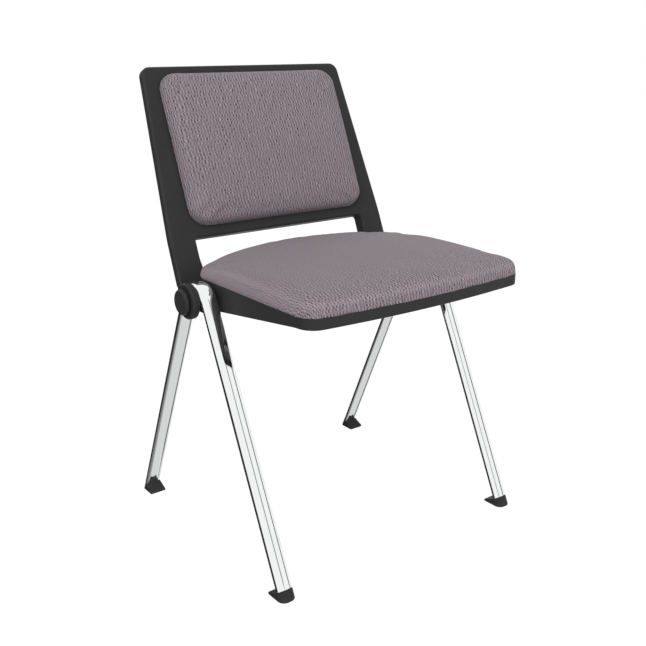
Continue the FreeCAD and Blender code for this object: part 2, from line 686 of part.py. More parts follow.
def opening(wall, low):
    # right-hand half of the opening's edge between the uprights, from the top down, moved out by the wall
    return [(dim("gap_half") + wall, dim("gap_top") + wall, dim("gap_round") + wall),
            (dim("gap_half") + wall, dim("gap_knee"), dim("gap_knee_round")),
            (dim("gap_half_low") + wall, low, 0)]


def portal(wall, low):
    # outline of the back frame: a panel with an upright each side of the opening, drawn in by the wall
    outer = [(dim("back_half_low") - wall, low, dim("upright_toe")),
             (dim("back_half_knee") - wall, dim("knee_reach"), dim("knee_round")),
             (dim("back_half_top") - wall, back_length - wall, dim("back_round") - wall)]
    top, knee, heel = opening(wall, low)
    half = [top, knee, (*heel[:2], dim("upright_heel"))] + outer
    return mirrored(half)


def gap_strip():
    # the opening's edge as a strip one wall wide, open at the bottom
    near = mirrored(list(reversed(opening(0, 0))))
    far = mirrored(list(reversed(opening(dim("back_wall"), 0))))
    return near + list(reversed(far))


def back_frame():
    body = new_body("back_frame")
    plate = new_sketch(body, "XY_Plane", "-Dims.back_depth", "plan")
    draw_outline(plate, portal(0, 0))
    block = pad(body, plate, "Dims.back_depth")
    doc.recompute()
    front_edges = [f"Edge{i + 1}" for i, edge in enumerate(block.Shape.Edges)
                   if all(abs(v.Z) < 1e-6 for v in edge.Vertexes)]
    rounding = body.newObject("PartDesign::Fillet", "back_frame_rounding")
    rounding.Base = (block, front_edges)
    rounding.setExpression("Radius", "Dims.back_edge_round")
    doc.recompute()
    rear = new_sketch(body, "XY_Plane", "-Dims.back_depth", "rear")
    draw_outline(rear, portal(dim("back_wall"), -OVERCUT))
    pocket(body, rear, "Dims.back_depth - Dims.back_wall", reverse=True)
    # a deeper flange stiffens the opening's edge
    flange = new_sketch(body, "XY_Plane", "-Dims.gap_depth", "flange")
    draw_outline(flange, gap_strip())
    pad(body, flange, "Dims.gap_depth - Dims.back_wall")
    # slots where the brackets enter the uprights, and screw holes
    slots = new_sketch(body, "XY_Plane", name="slots")
    for sign in (-1, 1):
        near = sign * (dim("bracket_place") - dim("slot_play"))
        far = sign * (dim("bracket_place") + dim("bracket_thickness") + dim("slot_play"))
        draw_outline(slots, [(near, -OVERCUT, 0), (far, -OVERCUT, 0),
                             (far, dim("bracket_slot"), 0), (near, dim("bracket_slot"), 0)])
    pocket(body, slots, "2 * Dims.back_wall")
    holes = new_sketch(body, "XY_Plane", name="holes")
    draw_circles(holes, dim("screw_radius"), pad_screw_places)
    pocket(body, holes, "2 * Dims.back_wall")
    blind = new_sketch(body, "XY_Plane", "-Dims.back_wall", "blind")
    draw_circles(blind, dim("screw_radius"), back_screw_places)
    pocket(body, blind, "Dims.back_wall / 2", reverse=True)
    lean(body)


def back_pad():
    panel = new_body("back_panel")
    sketch = new_sketch(panel, "XY_Plane", name="plan")
    draw_outline(sketch, panel_outline)
    draw_circles(sketch, dim("screw_radius"), pad_screw_places)
    pad(panel, sketch, "Dims.panel_thickness")
    lean(panel)
    foam = foam_body("back_foam", pad_shape, "0 mm")
    seat = new_sketch(foam, "XY_Plane", name="panel_seat")
    draw_outline(seat, panel_outline)
    pocket(foam, seat, "Dims.panel_thickness", reverse=True)
    lean(foam)
    lean(cover_body("back_cover", pad_shape))


def along_back(reach, depth):
    # point of the side view at a reach up the back and a depth behind its front face
    angle = math.radians(dim("recline"))
    return (dim("back_base_back") + reach * math.sin(angle) + depth * math.cos(angle),
            dim("back_base_height") + reach * math.cos(angle) - depth * math.sin(angle))


def back_bracket(side, sign):
    body = new_body(f"back_bracket_{side}")
    start = f"{sign} * (Dims.bracket_place + Dims.bracket_thickness / 2) - Dims.bracket_thickness / 2"
    hub = (dim("hub_back"), dim("hub_height"))
    ring = new_sketch(body, "YZ_Plane", start, "ring")
    draw_circles(ring, dim("bracket_ring"), [hub])
    draw_circles(ring, dim("beam_radius"), [hub])
    pad(body, ring, "Dims.bracket_thickness")
    arm = new_sketch(body, "YZ_Plane", start, "arm")
    root = hub[0] + (dim("bracket_ring") + dim("beam_radius")) / 2
    top = dim("bracket_reach")
    corner = dim("bracket_round")
    draw_outline(arm, [
        (root, hub[1] - dim("bracket_root"), 0), (*along_back(0, bracket_far), corner),
        (*along_back(top, bracket_far), corner), (*along_back(top, bracket_near), corner),
        (*along_back(dim("bracket_bend"), bracket_near), corner), (root, hub[1] + dim("bracket_root"), 0)])
    pad(body, arm, "Dims.bracket_thickness")


def back_spigot(side, sign):
    body = new_body(f"back_spigot_{side}")
    bar = new_sketch(body, "XY_Plane", "-Dims.back_wall - Dims.bracket_play - Dims.bracket_bar", "bar")
    inner = sign * (dim("bracket_place") - dim("spigot_width"))
    outer = sign * dim("bracket_place")
    low = dim("spigot_low")
    high = dim("bracket_reach")
    draw_outline(bar, [(inner, low, 0), (outer, low, 0), (outer, high, 0), (inner, high, 0)])
    draw_circles(bar, dim("screw_radius"), [p for p in back_screw_places if p[0] * sign > 0])
    pad(body, bar, "Dims.bracket_bar")
    lean(body)


for side, sign in SIDES.items():
    side_frame(side, sign)
    gusset(side, sign)
    hub_pieces(side, sign)
    for end in ("front", "rear"):
        glide(end, side, sign)
    seat_arm(side, sign)
    back_bracket(side, sign)
    back_spigot(side, sign)
cross_beam()
front_bar()
seat_pan()
seat_board()
seat_inserts()
arm_low = dim("floor_low") - dim("arm_thickness")
screws("seat_screws", dim("rim_height") - arm_low - dim("screw_end_gap"), [
    (Vec(x, y, arm_low), Vec(0, 0, 1)) for x, y in screw_places])
seat_cushion()
back_frame()
back_pad()
forward = lean_back.Rotation.multVec(Vec(0, 0, 1))
screws("back_pad_screws", dim("back_wall") + dim("panel_thickness") - dim("screw_end_gap"), [
    (lean_back.multVec(Vec(x, y, -dim("back_wall"))), forward) for x, y in pad_screw_places])
screws("back_screws", bracket_far - dim("back_wall") / 2, [
    (lean_back.multVec(Vec(x, y, -bracket_far)), forward) for x, y in back_screw_places])
doc.recompute()

# Every object has to be sound before anything is written

for item in doc.Objects:
    if "Invalid" in item.State or "Error" in item.State:
        raise RuntimeError(f"{item.Label} failed: {item.State}")
os.makedirs("parts", exist_ok=True)
for node in nodes:
    shape = node.Shape
    if shape.isNull() or not shape.isValid():
        raise RuntimeError(f"{node.Label} has no sound shape")
    shape.exportStep(f"parts/{node.Label}.step")
    print(f"{node.Label}: {shape.Volume / 1000:.1f} cm3, {len(shape.Solids)} solid(s)")
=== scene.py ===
import math
import bmesh
import bpy
import numpy as np
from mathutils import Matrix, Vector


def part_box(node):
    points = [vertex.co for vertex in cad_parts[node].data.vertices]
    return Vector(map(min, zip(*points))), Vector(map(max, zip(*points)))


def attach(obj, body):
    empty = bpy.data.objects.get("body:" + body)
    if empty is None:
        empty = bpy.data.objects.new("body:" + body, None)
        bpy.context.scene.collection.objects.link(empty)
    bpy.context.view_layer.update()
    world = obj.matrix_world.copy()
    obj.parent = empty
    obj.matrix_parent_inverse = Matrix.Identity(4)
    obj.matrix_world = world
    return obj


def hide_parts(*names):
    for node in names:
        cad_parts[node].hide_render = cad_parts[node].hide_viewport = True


# Reception chair: metres, +Z up, the sitter faces -Y, floor at Z = 0. The sitter's right is -X.
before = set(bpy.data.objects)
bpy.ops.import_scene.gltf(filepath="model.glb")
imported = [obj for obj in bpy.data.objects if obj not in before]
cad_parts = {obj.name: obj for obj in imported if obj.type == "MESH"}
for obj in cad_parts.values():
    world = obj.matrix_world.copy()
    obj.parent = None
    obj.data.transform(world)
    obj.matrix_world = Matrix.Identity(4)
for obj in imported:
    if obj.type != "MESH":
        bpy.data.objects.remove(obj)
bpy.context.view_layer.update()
sides = {"right": -1, "left": 1}
print("frame loaded:", len(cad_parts), "nodes")


# Lines and surfaces

# Line through corners (x, y, radius): straight runs, and at each corner an arc of its radius, tangent to
# both runs. Gives the points, their normals to the right of the way, and bend, 0 on a run and 1 in mid arc.
# step is the widest spacing on a run; hold is the spacing beside an arc, which keeps flat faces flat.
def roundedPath(corners, closed=True, step=1.0, hold=0.0004, arcStep=math.radians(7.5)):
    spots = np.array([corner[:2] for corner in corners], float)
    runs = np.roll(spots, -1, 0) - spots
    runs /= np.linalg.norm(runs, axis=1)[:, None]
    last = len(corners) - 1
    arcs = []
    for i, corner in enumerate(corners):
        before = runs[i - 1] if closed or i > 0 else runs[0]
        after = runs[i] if closed or i < last else before
        turn = math.atan2(before[0] * after[1] - before[1] * after[0], before @ after)
        radius = math.copysign(corner[2], turn)
        reach = abs(radius * math.tan(turn / 2))
        share = np.linspace(0, 1, int(abs(turn) / arcStep) + 3) if reach > 1e-9 else np.zeros(1)
        cos, sin = np.cos(turn * share), np.sin(turn * share)
        normals = np.stack([before[1] * cos + before[0] * sin, before[1] * sin - before[0] * cos], 1)
        centre = spots[i] - before * reach - np.array([before[1], -before[0]]) * radius
        arcs.append((centre + normals * radius, normals, np.sin(np.pi * share)))
    points, normals, bends = [], [], []
    for i, arc in enumerate(arcs):
        points.append(arc[0])
        normals.append(arc[1])
        bends.append(arc[2])
        start, end = arc[0][-1], arcs[(i + 1) % len(arcs)][0][0]
        length = np.linalg.norm(end - start)
        if length < 3 * hold or (i == last and not closed):
            continue
        share = np.linspace(hold / length, 1 - hold / length, int(length / step) + 2)
        points.append(start + (end - start) * share[:, None])
        normals.append(np.tile(arc[1][-1], (len(share), 1)))
        bends.append(np.zeros(len(share)))
    return np.concatenate(points), np.concatenate(normals), np.concatenate(bends)


# Open line of a profile with small rounded edges, and its bend
def profileLine(corners, hold=0.0002, arcDegrees=20):
    line, unused, bend = roundedPath(corners, closed=False, hold=hold, arcStep=math.radians(arcDegrees))
    return line, bend


# Corners of a rectangle, counterclockwise
def rectangle(xLow, yLow, xHigh, yHigh, radius):
    return [(xLow, yLow, radius), (xHigh, yLow, radius), (xHigh, yHigh, radius), (xLow, yHigh, radius)]


# Whole outline from its +X half, listed counterclockwise from the bottom up
def mirrored(half):
    return half + [(-x, y, radius) for x, y, radius in reversed(half) if abs(x) > 1e-9]


# Profile carried round an outline: each profile point stands inward along the outline's normal, and up.
# up has one value a row, or one value for each row and column.
def carried(outline, normals, inward, up):
    flat = outline[None] - normals[None] * inward[:, None, None]
    height = np.broadcast_to(up if up.ndim == 2 else up[:, None], flat.shape[:2])
    return np.concatenate([flat, height[..., None]], -1)


# Profile turned about an axis along X: a point lies at its distance along X, and radius times (cos, sin)
# of the turn away from the axis (y, z)
def turned(along, radius, axis, around):
    turn = np.linspace(0, 2 * np.pi, around, endpoint=False)
    across = axis[0] + radius[:, None] * np.cos(turn)
    height = axis[1] + radius[:, None] * np.sin(turn)
    return np.stack(np.broadcast_arrays(along[:, None], across, height), -1)


# Plate with rounded edges: its outline carried through a profile that starts on the lower face, rounds
# the lower edge, goes up the side and rounds the upper edge
def plateGrid(outline, normals, thickness, edge):
    landing = 2.5 * edge
    profile, bend = profileLine([
        (landing, 0, 0), (0, 0, edge), (0, thickness, edge), (landing, thickness, 0)], hold=0.2 * edge)
    return carried(outline, normals, profile[:, 0], profile[:, 1]), bend


# Mesh of closed grids: quads between neighbours, rows closed round, first and last rows filled flat
def gridMesh(name, grids, bends=None):
    points, faces, start = [], [], 0
    for grid in grids:
        rows, columns = grid.shape[:2]
        index = start + np.arange(rows * columns).reshape(rows, columns)
        beside = np.roll(index, -1, 1)
        quads = np.stack([index[:-1], beside[:-1], beside[1:], index[1:]], -1)
        faces += quads.reshape(-1, 4).tolist()
        faces += [index[row].tolist() for row in (0, -1) if np.ptp(grid[row], axis=0).max() > 1e-6]
        points.append(grid.reshape(-1, 3))
        start += rows * columns
    mesh = bpy.data.meshes.new(name)
    mesh.from_pydata(np.concatenate(points).tolist(), [], faces)
    # Share of a rounded edge at each point: the plastic paints it paler as wear and as a painted highlight
    if bends is not None:
        wearAndHighlight = np.concatenate([np.repeat(bend, grid.shape[1]) for bend, grid in zip(bends, grids)])
        mesh.attributes.new("wearAndHighlight", "FLOAT", "POINT").data.foreach_set("value", wearAndHighlight.astype(np.float32))
    shell = bmesh.new()
    shell.from_mesh(mesh)
    bmesh.ops.remove_doubles(shell, verts=shell.verts, dist=1e-6)
    bmesh.ops.recalc_face_normals(shell, faces=shell.faces)
    shell.to_mesh(mesh)
    shell.free()
    mesh.polygons.foreach_set("use_smooth", np.ones(len(mesh.polygons), bool))
    return mesh


def linked(name, data):
    thing = bpy.data.objects.new(name, data)
    bpy.context.scene.collection.objects.link(thing)
    return thing


# Links a piece, gives it its finish and hides the nodes it stands for
def dressPiece(name, mesh, slotName, *nodes):
    piece = linked(name, mesh)
    mesh.materials.clear()
    mesh.materials.append(finishes[slotName])
    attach(piece, "root")
    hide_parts(*nodes)
    return piece


# Finishes

noiseSpan = (0.3, 0.7)  # most values of a noise lie between these


def newMaterial(name):
    material = bpy.data.materials.new(name)
    material.use_nodes = True
    return material, material.node_tree, material.node_tree.nodes["Principled BSDF"]


# Adds a node; an input given as a socket is linked, any other value is set
def addNode(tree, kind, inputs=None, **settings):
    node = tree.nodes.new(kind)
    for key, value in settings.items():
        setattr(node, key, value)
    for key, value in (inputs or {}).items():
        if isinstance(value, bpy.types.NodeSocket):
            tree.links.new(value, node.inputs[key])
        else:
            node.inputs[key].default_value = value
    return node


def calc(tree, operation, *values):
    return addNode(tree, "ShaderNodeMath", dict(enumerate(values)), operation=operation).outputs[0]


def noise(tree, vector, scale, detail=2.0, roughness=0.5):
    inputs = {"Vector": vector, "Scale": scale, "Detail": detail, "Roughness": roughness}
    return addNode(tree, "ShaderNodeTexNoise", inputs).outputs["Fac"]


def ranged(tree, value, low, high, fromLow=0.0, fromHigh=1.0):
    inputs = {"Value": value, "From Min": fromLow, "From Max": fromHigh, "To Min": low, "To Max": high}
    return addNode(tree, "ShaderNodeMapRange", inputs).outputs["Result"]


def mixColour(tree, factor, first, second):
    return addNode(tree, "ShaderNodeMix", {0: factor, 6: first, 7: second}, data_type="RGBA").outputs[2]


def feed(tree, shader, name, value):
    tree.links.new(value, shader.inputs[name])


def bumped(tree, shader, height, distance, strength=1.0):
    inputs = {"Height": height, "Distance": distance, "Strength": strength}
    feed(tree, shader, "Normal", addNode(tree, "ShaderNodeBump", inputs).outputs["Normal"])


def setSockets(shader, values):
    for name, value in values.items():
        shader.inputs[name].default_value = value


def objectCoords(tree):
    return addNode(tree, "ShaderNodeTexCoord").outputs["Object"]


def stretched(tree, vector, scale):
    return addNode(tree, "ShaderNodeMapping", {"Vector": vector, "Scale": scale}).outputs["Vector"]


# Chrome: bright metal, gloss drifting slowly, faint polishing lines along the tube and a slight waviness
def chromeFinish():
    look = dict(colour=(0.88, 0.885, 0.89, 1), glossiest=0.03, dullest=0.075, driftScale=14.0,
                driftShare=0.6, lines=(900, 900, 40), lineShare=0.4, waveScale=22.0, waveDepth=0.00004)
    material, tree, shader = newMaterial("chromeTube")
    setSockets(shader, {"Base Color": look["colour"], "Metallic": 1.0})
    coords = objectCoords(tree)
    drift = calc(tree, "MULTIPLY", noise(tree, coords, look["driftScale"], 3.0), look["driftShare"])
    lines = noise(tree, stretched(tree, coords, look["lines"]), 1.0, 2.0)
    blend = calc(tree, "ADD", drift, calc(tree, "MULTIPLY", lines, look["lineShare"]))
    gloss = ranged(tree, blend, look["glossiest"], look["dullest"], *noiseSpan)
    feed(tree, shader, "Roughness", gloss)
    bumped(tree, shader, noise(tree, coords, look["waveScale"], 1.0), look["waveDepth"])
    return material


# Moulded plastic: fine spark-eroded grain, slow cloudiness in colour and gloss, paler and glossier along
# rounded edges as wear and as a painted highlight, dusty towards dustHeight where that is given
def plasticFinish(name, look):
    material, tree, shader = newMaterial(name)
    setSockets(shader, {"Specular IOR Level": look["specular"]})
    coords = objectCoords(tree)
    cloud = noise(tree, coords, look["cloudScale"], 4.0, 0.6)
    grain = noise(tree, coords, look["grainScale"], 3.0, 0.6)
    wearAndHighlight = addNode(tree, "ShaderNodeAttribute", attribute_name="wearAndHighlight").outputs["Fac"]
    # Rounded edges, in patches: painted paler and glossier, partly as wear and partly as a painted highlight
    edgeWearAndHighlight = calc(tree, "MULTIPLY", wearAndHighlight, ranged(tree, cloud, look["leastWearAndHighlight"], 1.0, *noiseSpan))
    colour = mixColour(tree, ranged(tree, cloud, 0.0, 1.0, *noiseSpan), look["deep"], look["pale"])
    colour = mixColour(tree, calc(tree, "MULTIPLY", edgeWearAndHighlight, look["wearAndHighlightShare"]), colour, look["wearAndHighlight"])
    if "dustHeight" in look:
        height = addNode(tree, "ShaderNodeSeparateXYZ", {"Vector": coords}).outputs["Z"]
        dust = ranged(tree, height, 1.0, 0.0, 0.0, look["dustHeight"])
        speckle = noise(tree, coords, look["speckleScale"], 5.0, 0.7)
        speckle = ranged(tree, speckle, 0.0, 1.0, *look["speckle"])
        dust = calc(tree, "MULTIPLY", calc(tree, "MULTIPLY", dust, speckle), look["dust"])
        colour = mixColour(tree, dust, colour, look["dustColour"])
    feed(tree, shader, "Base Color", colour)
    gloss = calc(tree, "SUBTRACT", ranged(tree, cloud, look["dullest"], look["glossiest"], *noiseSpan),
                 calc(tree, "MULTIPLY", edgeWearAndHighlight, look["polish"]))
    feed(tree, shader, "Roughness", gloss)
    bumped(tree, shader, grain, look["grainDepth"], look["grainStrength"])
    return material


# Upholstery cloth: rows of short upright slits with pale ribs between them. Each slit has its own strength
# and place in its cell, those of one diagonal are fainter, and each row is shifted by its own share of a
# column. The pattern fades where the cloth is rubbed, and a painted highlight makes the cloth paler where it
# turns over a rolled edge. Coordinates are metres over the cloth, from its own UV map.
def clothFinish():
    # stretched, in the look below, is the strength of the painted highlight on the rolled edges
    look = dict(across=0.0060, along=0.0067, shift=0.60, waver=(0.0050, 0.0055, 0.0), aside=0.20, ahead=0.30,
                slit=(0.08, 0.28), rib=(0.22, 0.42), tall=(0.22, 0.42), faintest=0.35, diagonal=0.80,
                yarn=(0.590, 0.494, 0.543, 1), ground=(0.045, 0.036, 0.040, 1), level=0.398, contrast=0.44,
                stretched=0.105, depth=0.0006, bump=0.7, waverScale=150.0, fuzzScale=2600.0, fuzz=0.22,
                fuzzHeight=0.20, slowScale=11.0, slow=0.06, dull=(0.78, 0.96))
    material, tree, shader = newMaterial("upholsteryCloth")
    setSockets(shader, {"Specular IOR Level": 0.18, "Sheen Weight": 0.26, "Sheen Roughness": 0.36,
                        "Sheen Tint": (0.93, 0.92, 0.91, 1)})
    cloth = addNode(tree, "ShaderNodeUVMap", uv_map="drape").outputs["UV"]
    waver = addNode(tree, "ShaderNodeTexNoise", {"Vector": cloth, "Scale": look["waverScale"]})
    offset = addNode(tree, "ShaderNodeVectorMath", {0: waver.outputs["Color"], 1: (0.5, 0.5, 0.5)},
                     operation="SUBTRACT").outputs[0]
    pulled = addNode(tree, "ShaderNodeVectorMath", {0: offset, 1: look["waver"], 2: cloth},
                     operation="MULTIPLY_ADD").outputs[0]
    place = addNode(tree, "ShaderNodeSeparateXYZ", {"Vector": pulled})
    rowPlace = calc(tree, "DIVIDE", place.outputs["Y"], look["along"])
    row = calc(tree, "FLOOR", rowPlace)
    shift = addNode(tree, "ShaderNodeTexWhiteNoise", {"W": row}, noise_dimensions="1D").outputs["Value"]
    columnPlace = calc(tree, "DIVIDE", place.outputs["X"], look["across"])
    columnPlace = calc(tree, "MULTIPLY_ADD", shift, look["shift"], columnPlace)
    column = calc(tree, "FLOOR", columnPlace)
    cell = addNode(tree, "ShaderNodeCombineXYZ", {"X": column, "Y": row}).outputs[0]
    draw = addNode(tree, "ShaderNodeTexWhiteNoise", {"Vector": cell}, noise_dimensions="2D")
    first, second, third = addNode(tree, "ShaderNodeSeparateColor", {"Color": draw.outputs["Color"]}).outputs
    aside = ranged(tree, second, 0.5 - look["aside"] / 2, 0.5 + look["aside"] / 2)
    ahead = ranged(tree, third, 0.5 - look["ahead"] / 2, 0.5 + look["ahead"] / 2)
    fromRow = calc(tree, "ABSOLUTE", calc(tree, "SUBTRACT", calc(tree, "FRACT", rowPlace), ahead))
    fromColumn = calc(tree, "ABSOLUTE", calc(tree, "SUBTRACT", calc(tree, "FRACT", columnPlace), aside))
    diagonal = calc(tree, "FLOORED_MODULO", calc(tree, "ADD", column, row), 2.0)
    strength = calc(tree, "MULTIPLY", ranged(tree, first, look["faintest"], 1.0),
                    ranged(tree, diagonal, look["diagonal"], 1.0))
    strength = calc(tree, "MULTIPLY", strength, ranged(tree, fromRow, 1.0, 0.0, *look["tall"]))
    relief = calc(tree, "SUBTRACT", ranged(tree, fromColumn, 0.0, 1.0, *look["rib"]),
                  ranged(tree, fromColumn, 1.0, 0.0, *look["slit"]))
    wearAndHighlight = addNode(tree, "ShaderNodeAttribute", attribute_name="wearAndHighlight").outputs["Fac"]
    rollHighlight = addNode(tree, "ShaderNodeAttribute", attribute_name="rollHighlight").outputs["Fac"]
    unworn = calc(tree, "SUBTRACT", 1.0, wearAndHighlight)
    pattern = calc(tree, "MULTIPLY", calc(tree, "MULTIPLY", relief, strength), unworn)
    fuzz = noise(tree, cloth, look["fuzzScale"], 4.0, 0.65)
    slow = noise(tree, cloth, look["slowScale"], 3.0)
    tone = calc(tree, "MULTIPLY_ADD", pattern, look["contrast"], look["level"])
    # Painted highlight: the cloth is made paler where it turns over a rolled edge
    tone = calc(tree, "MULTIPLY_ADD", rollHighlight, look["stretched"], tone)
    tone = calc(tree, "MULTIPLY_ADD", calc(tree, "SUBTRACT", fuzz, 0.5), look["fuzz"], tone)
    tone = calc(tree, "MULTIPLY_ADD", calc(tree, "SUBTRACT", slow, 0.5), look["slow"], tone)
    feed(tree, shader, "Base Color", mixColour(tree, tone, look["ground"], look["yarn"]))
    feed(tree, shader, "Roughness", ranged(tree, fuzz, *look["dull"], *noiseSpan))
    raised = calc(tree, "MULTIPLY_ADD", fuzz, look["fuzzHeight"], pattern)
    bumped(tree, shader, raised, look["depth"], look["bump"])
    return material


# Metal that carries a coat or plating: gloss and colour drift, with a dimpled skin like sprayed powder
def metalFinish(name, look):
    material, tree, shader = newMaterial(name)
    setSockets(shader, {"Metallic": look["metallic"], "Specular IOR Level": look["specular"]})
    coords = objectCoords(tree)
    cloud = noise(tree, coords, look["cloudScale"], 4.0, 0.6)
    colour = mixColour(tree, ranged(tree, cloud, 0.0, 1.0, *noiseSpan), look["deep"], look["pale"])
    feed(tree, shader, "Base Color", colour)
    gloss = ranged(tree, cloud, look["glossiest"], look["dullest"], *noiseSpan)
    feed(tree, shader, "Roughness", gloss)
    skin = noise(tree, coords, look["skinScale"], 2.0)
    bumped(tree, shader, skin, look["skinDepth"], look["skinStrength"])
    return material


# Plywood: long wavy grain, darker veins and open pores
def plywoodFinish():
    look = dict(pale=(0.52, 0.36, 0.20, 1), vein=(0.30, 0.18, 0.085, 1), grain=(6.0, 90.0, 400.0),
                veins=(0.35, 0.7), pores=(60.0, 1400.0, 400.0), poreDepth=0.0002, poreStrength=0.5,
                dull=(0.55, 0.8))
    material, tree, shader = newMaterial("boardPlywood")
    coords = objectCoords(tree)
    grain = noise(tree, stretched(tree, coords, look["grain"]), 1.0, 6.0, 0.62)
    pores = noise(tree, stretched(tree, coords, look["pores"]), 1.0, 2.0)
    colour = mixColour(tree, ranged(tree, grain, 0.0, 1.0, *look["veins"]), look["pale"], look["vein"])
    feed(tree, shader, "Base Color", colour)
    feed(tree, shader, "Roughness", ranged(tree, pores, *look["dull"], *noiseSpan))
    bumped(tree, shader, pores, look["poreDepth"], look["poreStrength"])
    return material


# Foam: pale open cells, with painted shade darkening each cell towards its middle
def foamFinish():
    look = dict(pale=(0.72, 0.66, 0.46, 1), cell=(0.50, 0.43, 0.26, 1), cellScale=900.0, cellWall=0.7,
                dull=(0.85, 1.0), cellDepth=0.0006, cellStrength=0.6)
    material, tree, shader = newMaterial("cutFoam")
    coords = objectCoords(tree)
    cells = addNode(tree, "ShaderNodeTexVoronoi", {"Vector": coords, "Scale": look["cellScale"]})
    # Painted shade: darker towards each cell's middle
    depth = ranged(tree, cells.outputs["Distance"], 1.0, 0.0, 0.0, look["cellWall"])
    feed(tree, shader, "Base Color", mixColour(tree, depth, look["pale"], look["cell"]))
    feed(tree, shader, "Roughness", ranged(tree, depth, *look["dull"]))
    bumped(tree, shader, cells.outputs["Distance"], look["cellDepth"], look["cellStrength"])
    return material


# The paler edge colour below stands partly for wear and partly for a painted highlight on rounded edges
blackPlastic = dict(deep=(0.0362, 0.0362, 0.0364, 1), pale=(0.0402, 0.0402, 0.0404, 1),
                    wearAndHighlight=(0.06, 0.06, 0.061, 1), wearAndHighlightShare=0.35, leastWearAndHighlight=0.35, polish=0.08, specular=0.09,
                    glossiest=0.40, dullest=0.50, cloudScale=16.0,
                    grainScale=1500.0, grainDepth=0.00006, grainStrength=0.5)
footPlastic = dict(blackPlastic, glossiest=0.45, dullest=0.6, wearAndHighlightShare=0.6,
                   dustHeight=0.007, dust=0.35, dustColour=(0.16, 0.15, 0.14, 1),
                   speckleScale=260.0, speckle=(0.42, 0.66))
carrierPlastic = dict(blackPlastic, deep=(0.30, 0.30, 0.29, 1), pale=(0.38, 0.38, 0.37, 1), wearAndHighlightShare=0.0)
powderSteel = dict(deep=(0.018, 0.018, 0.019, 1), pale=(0.026, 0.026, 0.027, 1), metallic=0.0, specular=0.4,
                   glossiest=0.32, dullest=0.46, cloudScale=20.0,
                   skinScale=520.0, skinDepth=0.00012, skinStrength=0.5)
platedSteel = dict(deep=(0.52, 0.51, 0.49, 1), pale=(0.64, 0.63, 0.61, 1), metallic=1.0, specular=0.5,
                   glossiest=0.24, dullest=0.40, cloudScale=150.0,
                   skinScale=2200.0, skinDepth=0.00003, skinStrength=0.6)
finishes = {
    "chrome_tube": chromeFinish(),
    "black_plastic": plasticFinish("mouldedBlack", blackPlastic),
    "foot_plastic": plasticFinish("footBlack", footPlastic),
    "carrier_plastic": plasticFinish("carrierGrey", carrierPlastic),
    "cloth": clothFinish(),
    "foam": foamFinish(),
    "black_steel": metalFinish("powderSteel", powderSteel),
    "bare_steel": metalFinish("platedSteel", platedSteel),
    "plywood": plywoodFinish(),
}
print("finishes made:", len(finishes))


# Legs and hubs

legs = dict(width=0.030, depth=0.015,  # oval tube: across the chair, and in the side frame's plane
            frontFoot=-0.2164, rearFoot=0.2396, footHeight=0.0146,  # the tube's two ends
            apexBack=0.0176, apexHeight=0.5095, bend=0.034,  # where the legs' lines meet, and the bend there
            around=80, runStep=0.012, bendStep=math.radians(2.5))
legEnds = {"front": (legs["frontFoot"], legs["footHeight"]), "rear": (legs["rearFoot"], legs["footHeight"])}
legApex = (legs["apexBack"], legs["apexHeight"])


# An ellipse carried along a bent line: the line's point, plus half the width times cos across the chair and
# half the depth times sin along the line's normal
def legTube(side):
    low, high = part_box(f"side_frame_{side}")
    line, normals, unused = roundedPath([
        (*legEnds["front"], 0), (*legApex, legs["bend"]), (*legEnds["rear"], 0)],
        closed=False, step=legs["runStep"], arcStep=legs["bendStep"])
    turn = np.linspace(0, 2 * np.pi, legs["around"], endpoint=False)
    away = legs["depth"] / 2 * np.sin(turn)
    grid = np.stack(np.broadcast_arrays(
        (low.x + high.x) / 2 + legs["width"] / 2 * np.cos(turn)[None],
        line[:, None, 0] + normals[:, None, 0] * away, line[:, None, 1] + normals[:, None, 1] * away), -1)
    mesh = gridMesh(f"legTube_{side}", [grid])
    dressPiece(f"legTube_{side}", mesh, "chrome_tube", f"side_frame_{side}")


hub = dict(coverIn=0.265, coverOut=0.277, coverRadius=0.030, neck=0.014, groove=0.0025,
           capOut=0.287, capRadius=0.0215, outerRound=0.004, innerRound=0.0015, dome=0.0006,
           sink=0.0005, sinkRound=0.0003, neckRound=0.0008, arcDegrees=9, around=96)
beamLow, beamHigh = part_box("cross_beam")
hubAxis = ((beamLow.y + beamHigh.y) / 2, (beamLow.z + beamHigh.z) / 2)


# Cover and cap are turned: a disc with rounded edges, then a neck that sinks into it, a groove and a
# slightly domed smaller disc
def hubPieces(side, sign):
    coverLine, coverBend = profileLine([
        (hub["coverIn"], 0, 0), (hub["coverIn"], hub["coverRadius"], hub["innerRound"]),
        (hub["coverOut"], hub["coverRadius"], hub["outerRound"]), (hub["coverOut"], 0, 0)],
        arcDegrees=hub["arcDegrees"])
    neckIn = hub["coverOut"] - hub["sink"]
    capIn = hub["coverOut"] + hub["groove"]
    capLine, capBend = profileLine([
        (neckIn, 0, 0), (neckIn, hub["neck"], hub["sinkRound"]), (capIn, hub["neck"], hub["neckRound"]),
        (capIn, hub["capRadius"], hub["innerRound"]),
        (hub["capOut"] - hub["dome"], hub["capRadius"], hub["outerRound"]), (hub["capOut"], 0, 0)],
        arcDegrees=hub["arcDegrees"])
    for name, line, bend in (("hubCover", coverLine, coverBend), ("hubCap", capLine, capBend)):
        grid = turned(sign * line[:, 0], line[:, 1], hubAxis, hub["around"])
        mesh = gridMesh(f"{name}_{side}", [grid], [bend])
        dressPiece(f"{name}_{side}", mesh, "black_plastic", f"hub_{name[3:].lower()}_{side}")


foot = dict(toe=0.0162, length=0.040, width=0.031, corner=0.013, heel=0.002, soleEdge=0.0007, topEdge=0.0009,
            landing=0.0018, soleRun=0.0009, topRun=0.0011, hold=0.0001)


